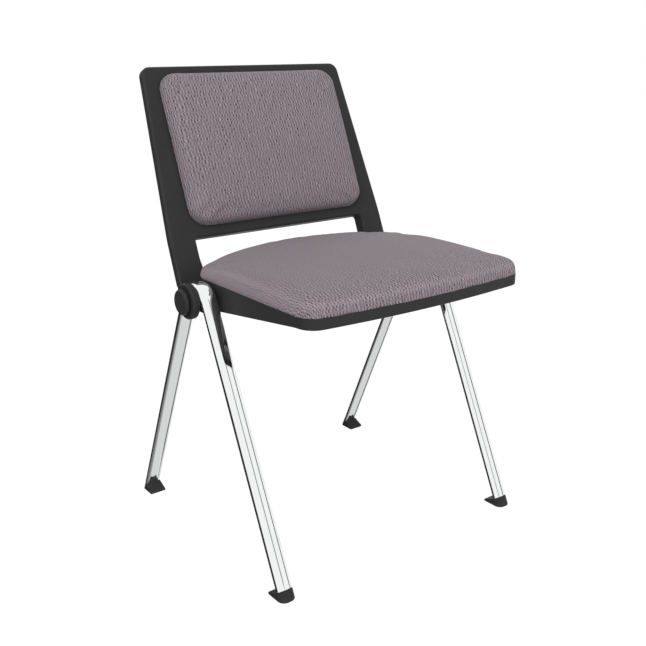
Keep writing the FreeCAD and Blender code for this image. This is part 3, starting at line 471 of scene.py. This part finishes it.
# Foot: the sole's outline carried up along the leg to a plane square to it, with both edges rounded. A point
# of the sole reaches that plane at (end height - slope * its distance from the end) / (1 + slope squared),
# and every row leans back by the slope times its height.
def footPiece(end, side):
    node = f"glide_{end}_{side}"
    low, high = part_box(node)
    ahead = -1 if end == "front" else 1
    place, height = legEnds[end]
    slope = (legApex[0] - place) / (legApex[1] - height)
    toe = place + ahead * foot["toe"]
    heel = toe - ahead * foot["length"]
    middle, half = (low.x + high.x) / 2, foot["width"] / 2
    corners = [(middle - half, heel, foot["heel"]), (middle + half, heel, foot["heel"]),
               (middle + half, toe, foot["corner"]), (middle - half, toe, foot["corner"])]
    outline, normals, unused = roundedPath(corners if ahead > 0 else corners[::-1])
    sole, soleBend = profileLine([
        (foot["landing"], 0, 0), (0, 0, foot["soleEdge"]), (0, foot["soleRun"], 0)], foot["hold"])
    top, topBend = profileLine([
        (0, -foot["topRun"], 0), (0, 0, foot["topEdge"]), (foot["landing"], 0, 0)], foot["hold"])
    rows = np.concatenate([sole, top])
    grid = carried(outline, normals, rows[:, 0], rows[:, 1])
    grid[len(sole):, :, 2] += (height - slope * (grid[len(sole):, :, 1] - place)) / (1 + slope ** 2)
    grid[..., 1] += slope * grid[..., 2]
    mesh = gridMesh(f"foot_{end}_{side}", [grid], [np.concatenate([soleBend, topBend])])
    dressPiece(f"foot_{end}_{side}", mesh, "foot_plastic", node)


for side, sign in sides.items():
    legTube(side)
    hubPieces(side, sign)
    for end in legEnds:
        footPiece(end, side)
print("legs, hubs and feet made")


# Steel under the seat

beam = dict(edge=0.0006, arcDegrees=7.5, around=64)


# Closed tube end: a turned bar with rounded rims
def crossTube():
    radius = (beamHigh.z - beamLow.z) / 2
    line, bend = profileLine([
        (beamLow.x, 0, 0), (beamLow.x, radius, beam["edge"]), (beamHigh.x, radius, beam["edge"]),
        (beamHigh.x, 0, 0)], arcDegrees=beam["arcDegrees"])
    mesh = gridMesh("crossTube", [turned(line[:, 0], line[:, 1], hubAxis, beam["around"])], [bend])
    dressPiece("crossTube", mesh, "black_steel", "cross_beam")


bars = dict(edge=0.0006, corner=0.004)


# Flat bar from its node's box, with rounded corners seen from above and rounded edges
def flatBar(name, node, corner):
    low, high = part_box(node)
    outline, normals, unused = roundedPath(rectangle(low.x, low.y, high.x, high.y, corner))
    grid, bend = plateGrid(outline, normals, high.z - low.z, bars["edge"])
    grid[..., 2] += low.z
    dressPiece(name, gridMesh(name, [grid], [bend]), "black_steel", node)


# Plate that stands across the chair in its node's box, from its outline in the side view (y, z)
def standingPlate(name, node, outline, normals, edge):
    low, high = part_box(node)
    grid, bend = plateGrid(outline, normals, high.x - low.x, edge)
    grid = np.stack([grid[..., 2] + low.x, grid[..., 0], grid[..., 1]], -1)
    dressPiece(name, gridMesh(name, [grid], [bend]), "black_steel", node)


gusset = dict(low=0.420, edge=0.0005, corner=0.001)


# Gusset: a plate that fills the bend from its inner line down to a level edge
def gussetPlate(side):
    inner = legs["bend"] - legs["depth"] / 2
    runs = [np.array([legApex[0] - y, legApex[1] - z]) for y, z in legEnds.values()]
    runs = [run / np.linalg.norm(run) for run in runs]
    half = math.acos(runs[0] @ runs[1]) / 2
    down = -(runs[0] + runs[1]) / np.linalg.norm(runs[0] + runs[1])
    tip = np.array(legApex) + down * (legs["bend"] - inner) / math.sin(half)
    feet = [tip - run * (tip[1] - gusset["low"]) / run[1] for run in runs]
    outline, normals, unused = roundedPath([
        (*feet[0], gusset["corner"]), (*feet[1], gusset["corner"]), (*tip, inner)])
    standingPlate(f"gussetPlate_{side}", f"gusset_{side}", outline, normals, gusset["edge"])


crossTube()
flatBar("frontTie", "front_bar", bars["edge"])
for side in sides:
    flatBar(f"seatBar_{side}", f"seat_arm_{side}", bars["corner"])
    gussetPlate(side)


# Seat

seat = dict(half=0.227, frontSide=-0.2524, frontMid=-0.2728, frontRound=0.030, frontBow=1.8,
            rearSide=0.0676, rearMid=0.1631, rearRound=0.035, rearBow=0.341, step=0.006)
seatLine, seatNormals, unused = roundedPath(mirrored([
    (0, seat["frontMid"], seat["frontBow"]), (seat["half"], seat["frontSide"], seat["frontRound"]),
    (seat["half"], seat["rearSide"], seat["rearRound"]), (0, seat["rearMid"], seat["rearBow"])]),
    step=seat["step"], arcStep=math.radians(1.2))

pan = dict(wall=0.003, rim=0.466, lip=0.0008, tray=0.459, under=0.456, lowEdge=0.0009, cove=0.002,
           front=0.4480, band=-0.2224, bandBend=0.060, earLow=0.4195, earHalf=0.020, earRound=0.012,
           earRise=0.030, rear=0.451,
           landing=0.02, fine=0.0005, finer=0.0004, lipDrop=0.003, rimRun=0.004, edgeRun=0.003, hold=0.0001)


# Lower edge of the pan, seen from the side: level at the front, falling to the ear, rising again behind it
def skirtHeight(y):
    earFront, earRear = hubAxis[0] - pan["earHalf"], hubAxis[0] + pan["earHalf"]
    line, unused, unused = roundedPath([
        (2 * seat["frontMid"], pan["front"], 0), (pan["band"], pan["front"], pan["bandBend"]),
        (earFront, pan["earLow"], pan["earRound"]), (earRear, pan["earLow"], pan["earRound"]),
        (earRear + pan["earRise"], pan["rear"], pan["earRound"]), (2 * seat["rearMid"], pan["rear"], 0)],
        closed=False, arcStep=math.radians(2))
    return np.interp(y, line[:, 0], line[:, 1])


# Pan: the seat's outline carried through the tray, the rim, the outer wall, the rounded lower edge, the
# inner wall and the floor's underside. The lower rows follow the skirt's height at their own place.
def seatPan():
    wall, rim, run = pan["wall"], pan["rim"], pan["edgeRun"]
    upper, upperBend = profileLine([
        (pan["landing"], pan["tray"], 0), (wall, pan["tray"], pan["fine"]),
        (wall, rim - pan["lipDrop"], pan["finer"]), (pan["lip"], rim, pan["finer"]), (0, rim, pan["fine"]),
        (0, rim - pan["rimRun"], 0)], pan["hold"])
    edge, edgeBend = profileLine([
        (0, run, 0), (0, 0, pan["lowEdge"]), (wall, 0, pan["lowEdge"]), (wall, run, 0)])
    floor, floorBend = profileLine([
        (wall, pan["under"] - run, 0), (wall, pan["under"], pan["cove"]), (pan["landing"], pan["under"], 0)])
    rows = np.concatenate([upper, edge, floor])
    grid = carried(seatLine, seatNormals, rows[:, 0], rows[:, 1])
    grid[len(upper):len(upper) + len(edge), :, 2] += skirtHeight(seatLine[:, 1])
    bend = np.concatenate([upperBend, edgeBend, floorBend * 0])
    mesh = gridMesh("seatPan", [grid], [bend])
    dressPiece("seatPan", mesh, "black_plastic", "seat_pan")


seatPan()
print("seat pan made")


# Cushions

# Form of a cushion on an outline: from the base the side swells to the belly and rolls onto the top, on a
# quadratic curve through those three points, and then rings shrink to the middle under the crown.
# crownAt(x, y) is the height above the edge.
def cushionForm(outline, normals, form, crownAt):
    share = np.linspace(0, 1, form["sideRows"])
    start, belly, end = (form["tuck"], 0.0), (form["bellyIn"], form["bellyUp"]), (form["roll"], 1.0)
    inward, up = [(1 - share) ** 2 * a + 2 * share * (1 - share) * (2 * b - (a + c) / 2) + share ** 2 * c
                  for a, b, c in zip(start, belly, end)]
    side = carried(outline, normals, inward, up)
    ring = side[-1, :, :2]
    middle = ring.mean(0)
    shrink = np.linspace(1, 0, form["topRows"])[1:, None, None]
    top = np.concatenate([middle + (ring - middle) * shrink, np.ones((len(shrink), len(ring), 1))], -1)
    grid = np.concatenate([side, top])
    grid[..., 2] *= form["edge"] + crownAt(grid[..., 0], grid[..., 1])
    return grid


# Mesh of an object with its modifiers applied
def applied(piece):
    graph = bpy.context.evaluated_depsgraph_get()
    return bpy.data.meshes.new_from_object(piece.evaluated_get(graph), depsgraph=graph)


def vertexArray(mesh):
    flat = np.empty(len(mesh.vertices) * 3)
    mesh.vertices.foreach_get("co", flat)
    return flat.reshape(-1, 3)


# Fills a cushion: even remesh, cloth under pressure with its base held, movement capped, then smoothed.
# Gives the remeshed mesh in the form's own axes, with its base at zero height.
def filledCushion(name, grid, filling):
    scene = bpy.context.scene
    shape = linked(name, gridMesh(name, [grid]))
    remesh = shape.modifiers.new("even", "REMESH")
    remesh.mode = "VOXEL"
    remesh.voxel_size = filling["voxel"]
    even = applied(shape)
    shape.modifiers.clear()
    shape.data = even
    start = vertexArray(even)
    held = shape.vertex_groups.new(name="held")
    held.add(np.flatnonzero(start[:, 2] < filling["heldHeight"]).tolist(), 1.0, "REPLACE")
    points = start
    cloth = shape.modifiers.new("filling", "CLOTH")
    cloth.settings.quality = filling["quality"]
    cloth.settings.mass = filling["mass"]
    cloth.settings.tension_stiffness = filling["stiffness"]
    cloth.settings.compression_stiffness = filling["stiffness"]
    cloth.settings.bending_stiffness = filling["bending"]
    cloth.settings.use_pressure = True
    cloth.settings.uniform_pressure_force = filling["pressure"]
    cloth.settings.effector_weights.gravity = 0
    cloth.settings.vertex_group_mass = "held"
    cloth.point_cache.frame_start = 1
    cloth.point_cache.frame_end = filling["frames"]
    for number in range(1, filling["frames"] + 1):
        scene.frame_set(number)
    blown = applied(shape)
    move = vertexArray(blown) - start
    far = np.linalg.norm(move, axis=1, keepdims=True)
    points = start + move * np.minimum(1, filling["cap"] / np.maximum(far, 1e-9))
    print(f"{name}: filled, moved {far.max() * 1000:.1f} mm at most,",
          f"{np.median(far) * 1000:.1f} mm in the middle")
    shape.modifiers.clear()
    scene.frame_set(1)
    bpy.data.meshes.remove(blown)
    even.vertices.foreach_set("co", points.astype(np.float32).ravel())
    even.update()
    smooth = shape.modifiers.new("even out", "SMOOTH")
    smooth.factor = filling["smoothShare"]
    smooth.iterations = filling["smoothing"]
    done = applied(shape)
    bpy.data.objects.remove(shape)
    return done


highlightBell = dict(facing=0.58, spread=0.30)  # the normal's rise where the painted highlight on the roll is brightest, and its spread


# Lays the cloth over the filled form: a point's place on the cloth is its place seen from above, moved
# outwards by how far it lies below the rolled edge. The weave is rubbed smooth by the share wear, which
# grows from the first to the second place of wornFrom along the form's y. A painted highlight lies where the
# cloth turns over the roll, as a bell over the normal, on the sides the form's direction points to or on
# all.
def layCloth(mesh, form):
    points = vertexArray(mesh)
    normals = np.empty(len(points) * 3)
    mesh.vertex_normals.foreach_get("vector", normals)
    normals = normals.reshape(-1, 3)
    out = normals[:, :2] / np.maximum(np.linalg.norm(normals[:, :2], axis=1, keepdims=True), 1e-6)
    start, stop = form["wornFrom"]
    wearAndHighlight = form["wear"] * np.clip((points[:, 1] - start) / (stop - start), 0, 1)
    # Painted highlight on the rolls: a bell over the normal's rise, on the chosen sides
    rollHighlight = np.exp(-((normals[:, 2] - highlightBell["facing"]) / highlightBell["spread"]) ** 2)
    rollHighlight *= np.clip(form["highlightAll"] + out @ form["highlightTo"], 0, 1)
    for name, share in (("wearAndHighlight", wearAndHighlight), ("rollHighlight", rollHighlight)):
        mesh.attributes.new(name, "FLOAT", "POINT").data.foreach_set("value", share.astype(np.float32))
    drape = points[:, :2] + out * np.maximum(form["edge"] - points[:, 2:], 0)
    corners = np.empty(len(mesh.loops), np.int32)
    mesh.loops.foreach_get("vertex_index", corners)
    mesh.uv_layers.new(name="drape").data.foreach_set("uv", drape[corners].astype(np.float32).ravel())


def cushionPiece(name, mesh, points, fill, *nodes):
    mesh.vertices.foreach_set("co", points.astype(np.float32).ravel())
    mesh.update()
    mesh.polygons.foreach_set("use_smooth", np.ones(len(mesh.polygons), bool))
    mesh.name = name
    piece = dressPiece(name, mesh, "cloth", *nodes)
    finer = piece.modifiers.new("finer", "SUBSURF")
    finer.levels = 1
    finer.render_levels = 1
    print(f"{name}: {len(mesh.polygons)} faces before subdivision")


filling = dict(voxel=0.0042, heldHeight=0.0035, quality=6, mass=0.3, stiffness=18.0, bending=0.6,
               pressure=4.0, frames=20, cap=0.003, smoothing=3, smoothShare=0.5)
# The seat's painted highlight lies on its rolls all round
cushion = dict(base=0.4636, edge=0.0268, crown=0.0078, crownFade=0.6, roll=0.0085, tuck=0.0,
               bellyIn=-0.0010, bellyUp=0.6, sideRows=14, topRows=24, fill=0.85,
               wear=0.78, wornFrom=(-0.250, -0.115), highlightAll=1.0, highlightTo=(0.0, 0.0),
               cornerFall=0.0060, cornerReach=0.044)


# Crown of the seat: highest in the middle, falling as the square of the way to the front and rear edges and,
# by the fade, to the sides. The rear corners fall a little more, as a bell round each.
def seatCrown(x, y):
    front = seatLine[seatLine[:, 1] < 0]
    rear = seatLine[seatLine[:, 1] > 0]
    front, rear = (part[np.argsort(part[:, 0])] for part in (front, rear))
    low, high = (np.interp(x, part[:, 0], part[:, 1]) for part in (front, rear))
    way = np.clip((2 * y - low - high) / (high - low - 2 * cushion["roll"]), -1, 1)
    corner = ((np.abs(x) - seat["half"]) ** 2 + (y - seat["rearSide"]) ** 2) / cushion["cornerReach"] ** 2
    crown = cushion["crown"] * (1 - cushion["crownFade"] * (x / seat["half"]) ** 2) * (1 - way ** 2)
    return crown - cushion["cornerFall"] * np.exp(-corner)


def seatCushion():
    grid = cushionForm(seatLine, seatNormals, cushion, seatCrown)
    mesh = filledCushion("seatCushion", grid, filling)
    layCloth(mesh, cushion)
    cushionPiece("seatCushion", mesh, vertexArray(mesh) + (0, 0, cushion["base"]), cushion["fill"],
                 "seat_cover", "seat_foam")


seatCushion()


# Back

back = dict(lean=math.radians(22.5), baseBack=0.09895, baseHeight=0.430, top=0.8015,
            halfTop=0.2154, halfKnee=0.237, halfLow=0.2385, knee=0.095, kneeRound=0.3, topRound=0.018,
            toe=0.008, heel=0.008, gapHalf=0.187, gapHalfLow=0.180, gapKnee=0.055, gapKneeRound=0.060,
            gapTop=0.0904, gapRound=0.005, depth=0.014, gapDepth=0.024, wall=0.004, frontEdge=0.005,
            rearEdge=0.001, depthRun=0.010, depthFrom=0.002, slack=0.0005,
            landing=0.0075, sideRun=0.0056, rimRun=0.0016, innerRun=0.0012, coveRun=0.0008, cove=0.0005)
backLength = (back["top"] - back["baseHeight"]) / math.cos(back["lean"])


# From the back's own axes (across, up along it, forward of its front face) to the chair's
def onBack(points):
    sin, cos = math.sin(back["lean"]), math.cos(back["lean"])
    x, up, forward = points[..., 0], points[..., 1], points[..., 2]
    return np.stack([x, back["baseBack"] + up * sin - forward * cos,
                     back["baseHeight"] + up * cos + forward * sin], -1)


# Frame of the back: a panel with an upright each side of an opening. The outline is carried through the
# front fillet, the side wall, the rear rim, the inner wall and the rear floor. The wall is deeper round the
# opening and only as deep as the floor at the uprights' open lower ends.
def backShell():
    outline, normals, unused = roundedPath(mirrored([
        (back["gapHalf"], back["gapTop"], back["gapRound"]),
        (back["gapHalf"], back["gapKnee"], back["gapKneeRound"]),
        (back["gapHalfLow"], 0, back["heel"]), (back["halfLow"], 0, back["toe"]),
        (back["halfKnee"], back["knee"], back["kneeRound"]),
        (back["halfTop"], backLength, back["topRound"])]), step=0.008, arcStep=math.radians(4))
    x, up = np.abs(outline[:, 0]), outline[:, 1]
    inside = (x < back["gapHalf"] + back["slack"]) & (up < back["gapTop"] + back["slack"])
    full = np.where(inside, back["gapDepth"], back["depth"])
    wall, landing = back["wall"], back["landing"]
    shallow = wall + 2 * back["rearEdge"]
    depth = shallow + (full - shallow) * np.clip((up - back["depthFrom"]) / back["depthRun"], 0, 1)
    front, frontBend = profileLine([
        (landing, 0, 0), (0, 0, back["frontEdge"]), (0, -back["sideRun"], 0)], hold=0.0004, arcDegrees=9)
    rim, rimBend = profileLine([
        (0, back["rimRun"], 0), (0, 0, back["rearEdge"]), (wall, 0, back["rearEdge"]),
        (wall, back["innerRun"], 0)])
    rear, rearBend = profileLine([
        (wall, -wall - back["coveRun"], 0), (wall, -wall, back["cove"]), (landing, -wall, 0)],
        hold=0.0001, arcDegrees=30)
    rows = np.concatenate([front, rim, rear])
    grid = carried(outline, normals, rows[:, 0], rows[:, 1])
    grid[len(front):len(front) + len(rim), :, 2] -= depth
    mesh = gridMesh("backShell", [onBack(grid)], [np.concatenate([frontBend, rimBend, rearBend * 0])])
    dressPiece("backShell", mesh, "black_plastic", "back_frame")


# The pad's painted highlight lies only on its top roll and the roll on its +X side
pad = dict(half=0.1915, low=0.1085, high=0.388, corner=0.034, base=-0.0020, edge=0.0205, crown=0.0055,
           crownFade=0.6, swell=0.20, roll=0.0095, tuck=0.0008, bellyIn=0.0006, bellyUp=0.6, sideRows=12,
           topRows=24, fill=0.8, wear=0.15, wornFrom=(0.32, 0.25), highlightAll=0.0, highlightTo=(0.7, 0.9))


# Crown of the back pad: as the seat's, on a straight-sided pad
def padCrown(x, y):
    way = np.clip((2 * y - pad["low"] - pad["high"]) / (pad["high"] - pad["low"] - 2 * pad["roll"]), -1, 1)
    return pad["crown"] * (1 - pad["crownFade"] * (x / pad["half"]) ** 2) * (1 - way ** 2)


# Pad: the filled form, thicker by the share swell towards its lower edge, laid on the back
def backPad():
    corners = rectangle(-pad["half"], pad["low"], pad["half"], pad["high"], pad["corner"])
    outline, normals, unused = roundedPath(corners, step=0.006, arcStep=math.radians(5))
    grid = cushionForm(outline, normals, pad, padCrown)
    mesh = filledCushion("backPad", grid, filling)
    layCloth(mesh, pad)
    points = vertexArray(mesh)
    points[:, 2] *= 1 + pad["swell"] * (pad["high"] - points[:, 1]) / (pad["high"] - pad["low"])
    points = onBack(points + (0, 0, pad["base"]))
    cushionPiece("backPad", mesh, points, pad["fill"], "back_cover", "back_foam")


bracket = dict(ring=0.018, root=0.008, near=0.0043, far=0.0138, bend=0.022, reach=0.090, corner=0.004,
               edge=0.0006, around=60)


# Point of the side view (y, z) at a reach up the back and a depth behind its front face
def sideView(reach, depth):
    return onBack(np.array([0.0, reach, -depth]))[1:]


# Bracket: one plate, a ring round the cross beam that runs out into a bar inside the upright
def backBracket(side):
    gap = math.asin(bracket["root"] / bracket["ring"])
    turn = np.linspace(gap, 2 * math.pi - gap, bracket["around"])
    ring = np.array(hubAxis) + bracket["ring"] * np.stack([np.cos(turn), np.sin(turn)], 1)
    arm, unused, unused = roundedPath([
        (*ring[-1], 0), (*sideView(0, bracket["far"]), bracket["corner"]),
        (*sideView(bracket["reach"], bracket["far"]), bracket["corner"]),
        (*sideView(bracket["reach"], bracket["near"]), bracket["corner"]),
        (*sideView(bracket["bend"], bracket["near"]), bracket["corner"]), (*ring[0], 0)], closed=False)
    outline = np.concatenate([ring[1:-1], arm])
    along = np.roll(outline, -1, 0) - np.roll(outline, 1, 0)
    normals = np.stack([along[:, 1], -along[:, 0]], 1) / np.linalg.norm(along, axis=1)[:, None]
    standingPlate(f"backBracket_{side}", f"back_bracket_{side}", outline, normals, bracket["edge"])


spigot = dict(low=0.034, edge=0.0008, corner=0.001)


# Bar inside the upright, lying along the back behind its front wall
def backSpigot(side):
    node = f"back_spigot_{side}"
    low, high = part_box(node)
    corners = rectangle(low.x, spigot["low"], high.x, bracket["reach"], spigot["corner"])
    outline, normals, unused = roundedPath(corners)
    grid, bend = plateGrid(outline, normals, bracket["far"] - bracket["near"], spigot["edge"])
    grid[..., 2] -= bracket["far"]
    mesh = gridMesh(f"backSpigot_{side}", [onBack(grid)], [bend])
    dressPiece(f"backSpigot_{side}", mesh, "black_steel", node)


backShell()
backPad()
for side in sides:
    backBracket(side)
    backSpigot(side)
print("back made")


# Screws

screw = dict(radius=0.0025, head=0.005, headHeight=0.0035, headEdge=0.0008, socket=0.0024,
             socketDepth=0.0018, fine=0.0002, tip=0.0004, hold=0.0001, around=48)


# Pan-head screw: a turned profile from the bottom of its hexagon socket over the head and down the shank.
# The socket's rows are turned on a hexagon: radius divided by the cosine of the turn from the middle of the
# nearest flat.
def screwGrid(length):
    rise, fine = screw["headHeight"], screw["fine"]
    bottom = rise - screw["socketDepth"]
    line, unused = profileLine([
        (bottom, 0, 0), (bottom, screw["socket"], fine), (rise, screw["socket"], fine),
        (rise, screw["head"], screw["headEdge"]), (0, screw["head"], fine), (0, screw["radius"], fine),
        (-length, screw["radius"], screw["tip"]), (-length, 0, 0)], screw["hold"])
    turn = np.linspace(0, 2 * np.pi, screw["around"], endpoint=False)
    flat = np.cos((turn + math.pi / 6) % (math.pi / 3) - math.pi / 6)
    inSocket = (line[:, 1:] <= screw["socket"] + fine / 2) & (line[:, :1] > 0)
    radius = line[:, 1:] / np.where(inSocket, flat, 1.0)
    return np.stack(np.broadcast_arrays(radius * np.cos(turn), radius * np.sin(turn), line[:, :1]), -1)


padInset = 0.050
screwSets = {  # level is the head's underside, length the shank's, and place puts them in the chair's axes
    "seatScrews": dict(node="seat_screws", across=0.130, rows=(-0.179, 0.040), level=0.449, length=0.016,
                       place=np.asarray),
    "padScrews": dict(node="back_pad_screws", across=0.143, level=-back["wall"], length=0.008, place=onBack,
                      rows=(pad["low"] + padInset, pad["high"] - padInset)),
    "backScrews": dict(node="back_screws", across=0.2155, rows=(0.050, 0.078), level=-bracket["far"],
                       length=0.0118, place=onBack)}


# Four screws, one on each side in two rows, heads down or to the rear
def screwSet(name, node, across, rows, level, length, place):
    spots = [(sign * across, row, level) for sign in sides.values() for row in rows]
    grids = [place(screwGrid(length) * (1, 1, -1) + spot) for spot in spots]
    dressPiece(name, gridMesh(name, grids), "bare_steel", node)


for name, screwPlan in screwSets.items():
    screwSet(name, **screwPlan)

# Pieces that keep their own CAD shape take the finish of their slot
kept = {"beam_plug": "bare_steel", "hub_bolt": "bare_steel", "seat_board": "plywood",
        "seat_inserts": "bare_steel", "back_panel": "carrier_plastic"}
for name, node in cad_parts.items():
    for start, slotName in kept.items():
        if name.startswith(start):
            node.data.materials.clear()
            node.data.materials.append(finishes[slotName])
print("screws made, inner pieces finished")


# Studio

studio = dict(dome=0.44, floor=(0.60, 0.60, 0.60, 1), floorShade=0.16, floorGlow=0.935, floorSize=24.0,
              aim=(0.0, 0.0, 0.45))
lamps = {"keyLamp": dict(place=(-2.05, -1.65, 2.70), size=2.6, level=0.52),
         "fillLamp": dict(place=(1.1, -2.9, 0.9), size=2.0, level=0.17),
         "rimLamp": dict(place=(2.3, 1.9, 1.8), size=2.0, level=0.12)}
lens = dict(place=(-0.93548, -1.22183, 0.84797), pitch=72.2459, turn=-37.1802, length=49.55, sensor=36.0)


# 1 for rays that show the background as it looks: straight to the camera, mirrored or through glass
def shownRay(tree):
    path = addNode(tree, "ShaderNodeLightPath").outputs
    indirect = calc(tree, "MAXIMUM", path["Is Glossy Ray"], path["Is Transmission Ray"])
    return calc(tree, "MAXIMUM", path["Is Camera Ray"], indirect)


# One shader for shown rays and another for the rest
def shownMix(tree, rest, shown):
    inputs = {0: shownRay(tree), 1: rest.outputs[0], 2: shown.outputs[0]}
    return addNode(tree, "ShaderNodeMixShader", inputs)


# Node tree of a new material or world, with nothing in it
def emptyTree(owner):
    owner.use_nodes = True
    owner.node_tree.nodes.clear()
    return owner.node_tree


def surfaceOut(tree, shader, kind="ShaderNodeOutputMaterial"):
    tree.links.new(shader.outputs[0], addNode(tree, kind).inputs["Surface"])


def paleWorld():
    world = bpy.data.worlds.new("paleWorld")
    bpy.context.scene.world = world
    tree = emptyTree(world)
    light = addNode(tree, "ShaderNodeBackground", {"Color": (1, 1, 1, 1), "Strength": studio["dome"]})
    shown = addNode(tree, "ShaderNodeBackground", {"Color": (1, 1, 1, 1), "Strength": 1.0})
    surfaceOut(tree, shownMix(tree, light, shown), "ShaderNodeOutputWorld")


# Floor: shown rays see it almost white with the object's shadow on it, and other rays see plain pale floor.
# Mirrored rays pass it and see the world and the flags.
def paleFloor():
    material = bpy.data.materials.new("paleFloor")
    tree = emptyTree(material)
    shade = studio["floorShade"]
    plain = addNode(tree, "ShaderNodeBsdfDiffuse", {"Color": studio["floor"]})
    shadow = addNode(tree, "ShaderNodeBsdfDiffuse", {"Color": (shade, shade, shade, 1)})
    glow = addNode(tree, "ShaderNodeEmission", {"Color": (1, 1, 1, 1), "Strength": studio["floorGlow"]})
    white = addNode(tree, "ShaderNodeAddShader", {0: shadow.outputs[0], 1: glow.outputs[0]})
    surfaceOut(tree, shownMix(tree, plain, white))
    half = studio["floorSize"] / 2
    corners = [(-half, -half, 0), (half, -half, 0), (half, half, 0), (-half, half, 0)]
    mesh = bpy.data.meshes.new("floor")
    mesh.from_pydata(corners, [], [(0, 1, 2, 3)])
    mesh.materials.append(material)
    floor = linked("floor", mesh)
    floor.visible_glossy = False


# Flags that only mirrored rays see, so that the chrome has dark and grey lines in its white: each is a patch
# of a wide sphere round the chair, from one azimuth to another (degrees, from +X towards +Y), from one
# elevation to another, with its shade
flags = dict(reach=7.0, step=4.0, patches={
    "behind": (60, 205, -46, 9, 0.03),
    "lowLeft": (160, 205, -75, -46, 0.22), "lowLeftPale": (205, 228, -75, -46, 0.42),
    "lowFront": (228, 351, -90, -42, 0.74), "lowRight": (5, 160, -90, -46, 0.74),
    "sideLow": (-9, 8, -60, -35, 0.17),
    "side": (-39, -31, -4, 40, 0.06), "front": (-79, -72, 8, 40, 0.34), "over": (-50, 10, 48, 55, 0.20)})


# A point of the sphere: reach times (cos elevation cos azimuth, cos elevation sin azimuth, sin elevation)
def mirrorFlag(name, patch):
    fromTurn, toTurn, fromRise, toRise, shade = patch
    turn = np.radians(np.linspace(fromTurn, toTurn, int((toTurn - fromTurn) / flags["step"]) + 2))[None]
    rise = np.radians(np.linspace(fromRise, toRise, int((toRise - fromRise) / flags["step"]) + 2))[:, None]
    grid = flags["reach"] * np.stack(np.broadcast_arrays(
        np.cos(rise) * np.cos(turn), np.cos(rise) * np.sin(turn), np.sin(rise)), -1) + studio["aim"]
    rows, columns = grid.shape[:2]
    index = np.arange(rows * columns).reshape(rows, columns)
    quads = np.stack([index[:-1, :-1], index[:-1, 1:], index[1:, 1:], index[1:, :-1]], -1)
    mesh = bpy.data.meshes.new(name)
    mesh.from_pydata(grid.reshape(-1, 3).tolist(), [], quads.reshape(-1, 4).tolist())
    material = bpy.data.materials.new(name)
    tree = emptyTree(material)
    glow = addNode(tree, "ShaderNodeEmission", {"Color": (shade, shade, shade, 1), "Strength": 1.0})
    surfaceOut(tree, glow)
    mesh.materials.append(material)
    flag = linked(name, mesh)
    flag.visible_camera = False
    flag.visible_diffuse = False
    flag.visible_transmission = False
    flag.visible_shadow = False


# Square lamp aimed at the chair; level is what a white surface facing it would show
def softLamp(name, place, size, level):
    away = np.array(place) - np.array(studio["aim"])
    distance = np.linalg.norm(away)
    data = bpy.data.lights.new(name, "AREA")
    data.size = size
    data.energy = level * math.pi ** 2 * distance ** 2
    lamp = linked(name, data)
    lamp.location = place
    pitch = math.acos(away[2] / distance)
    lamp.rotation_euler = (pitch, 0, math.atan2(away[1], away[0]) + math.pi / 2)
    lamp.visible_glossy = False


def photoCamera():
    data = bpy.data.cameras.new("photoCamera")
    data.lens = lens["length"]
    data.sensor_width = lens["sensor"]
    camera = linked("photoCamera", data)
    camera.location = lens["place"]
    camera.rotation_euler = (math.radians(lens["pitch"]), 0, math.radians(lens["turn"]))
    bpy.context.scene.camera = camera


paleWorld()
paleFloor()
for name, patch in flags["patches"].items():
    mirrorFlag(f"{name}Flag", patch)
for name, lampPlan in lamps.items():
    softLamp(name, **lampPlan)
photoCamera()
bpy.context.scene.view_settings.view_transform = "Standard"
print("studio set")
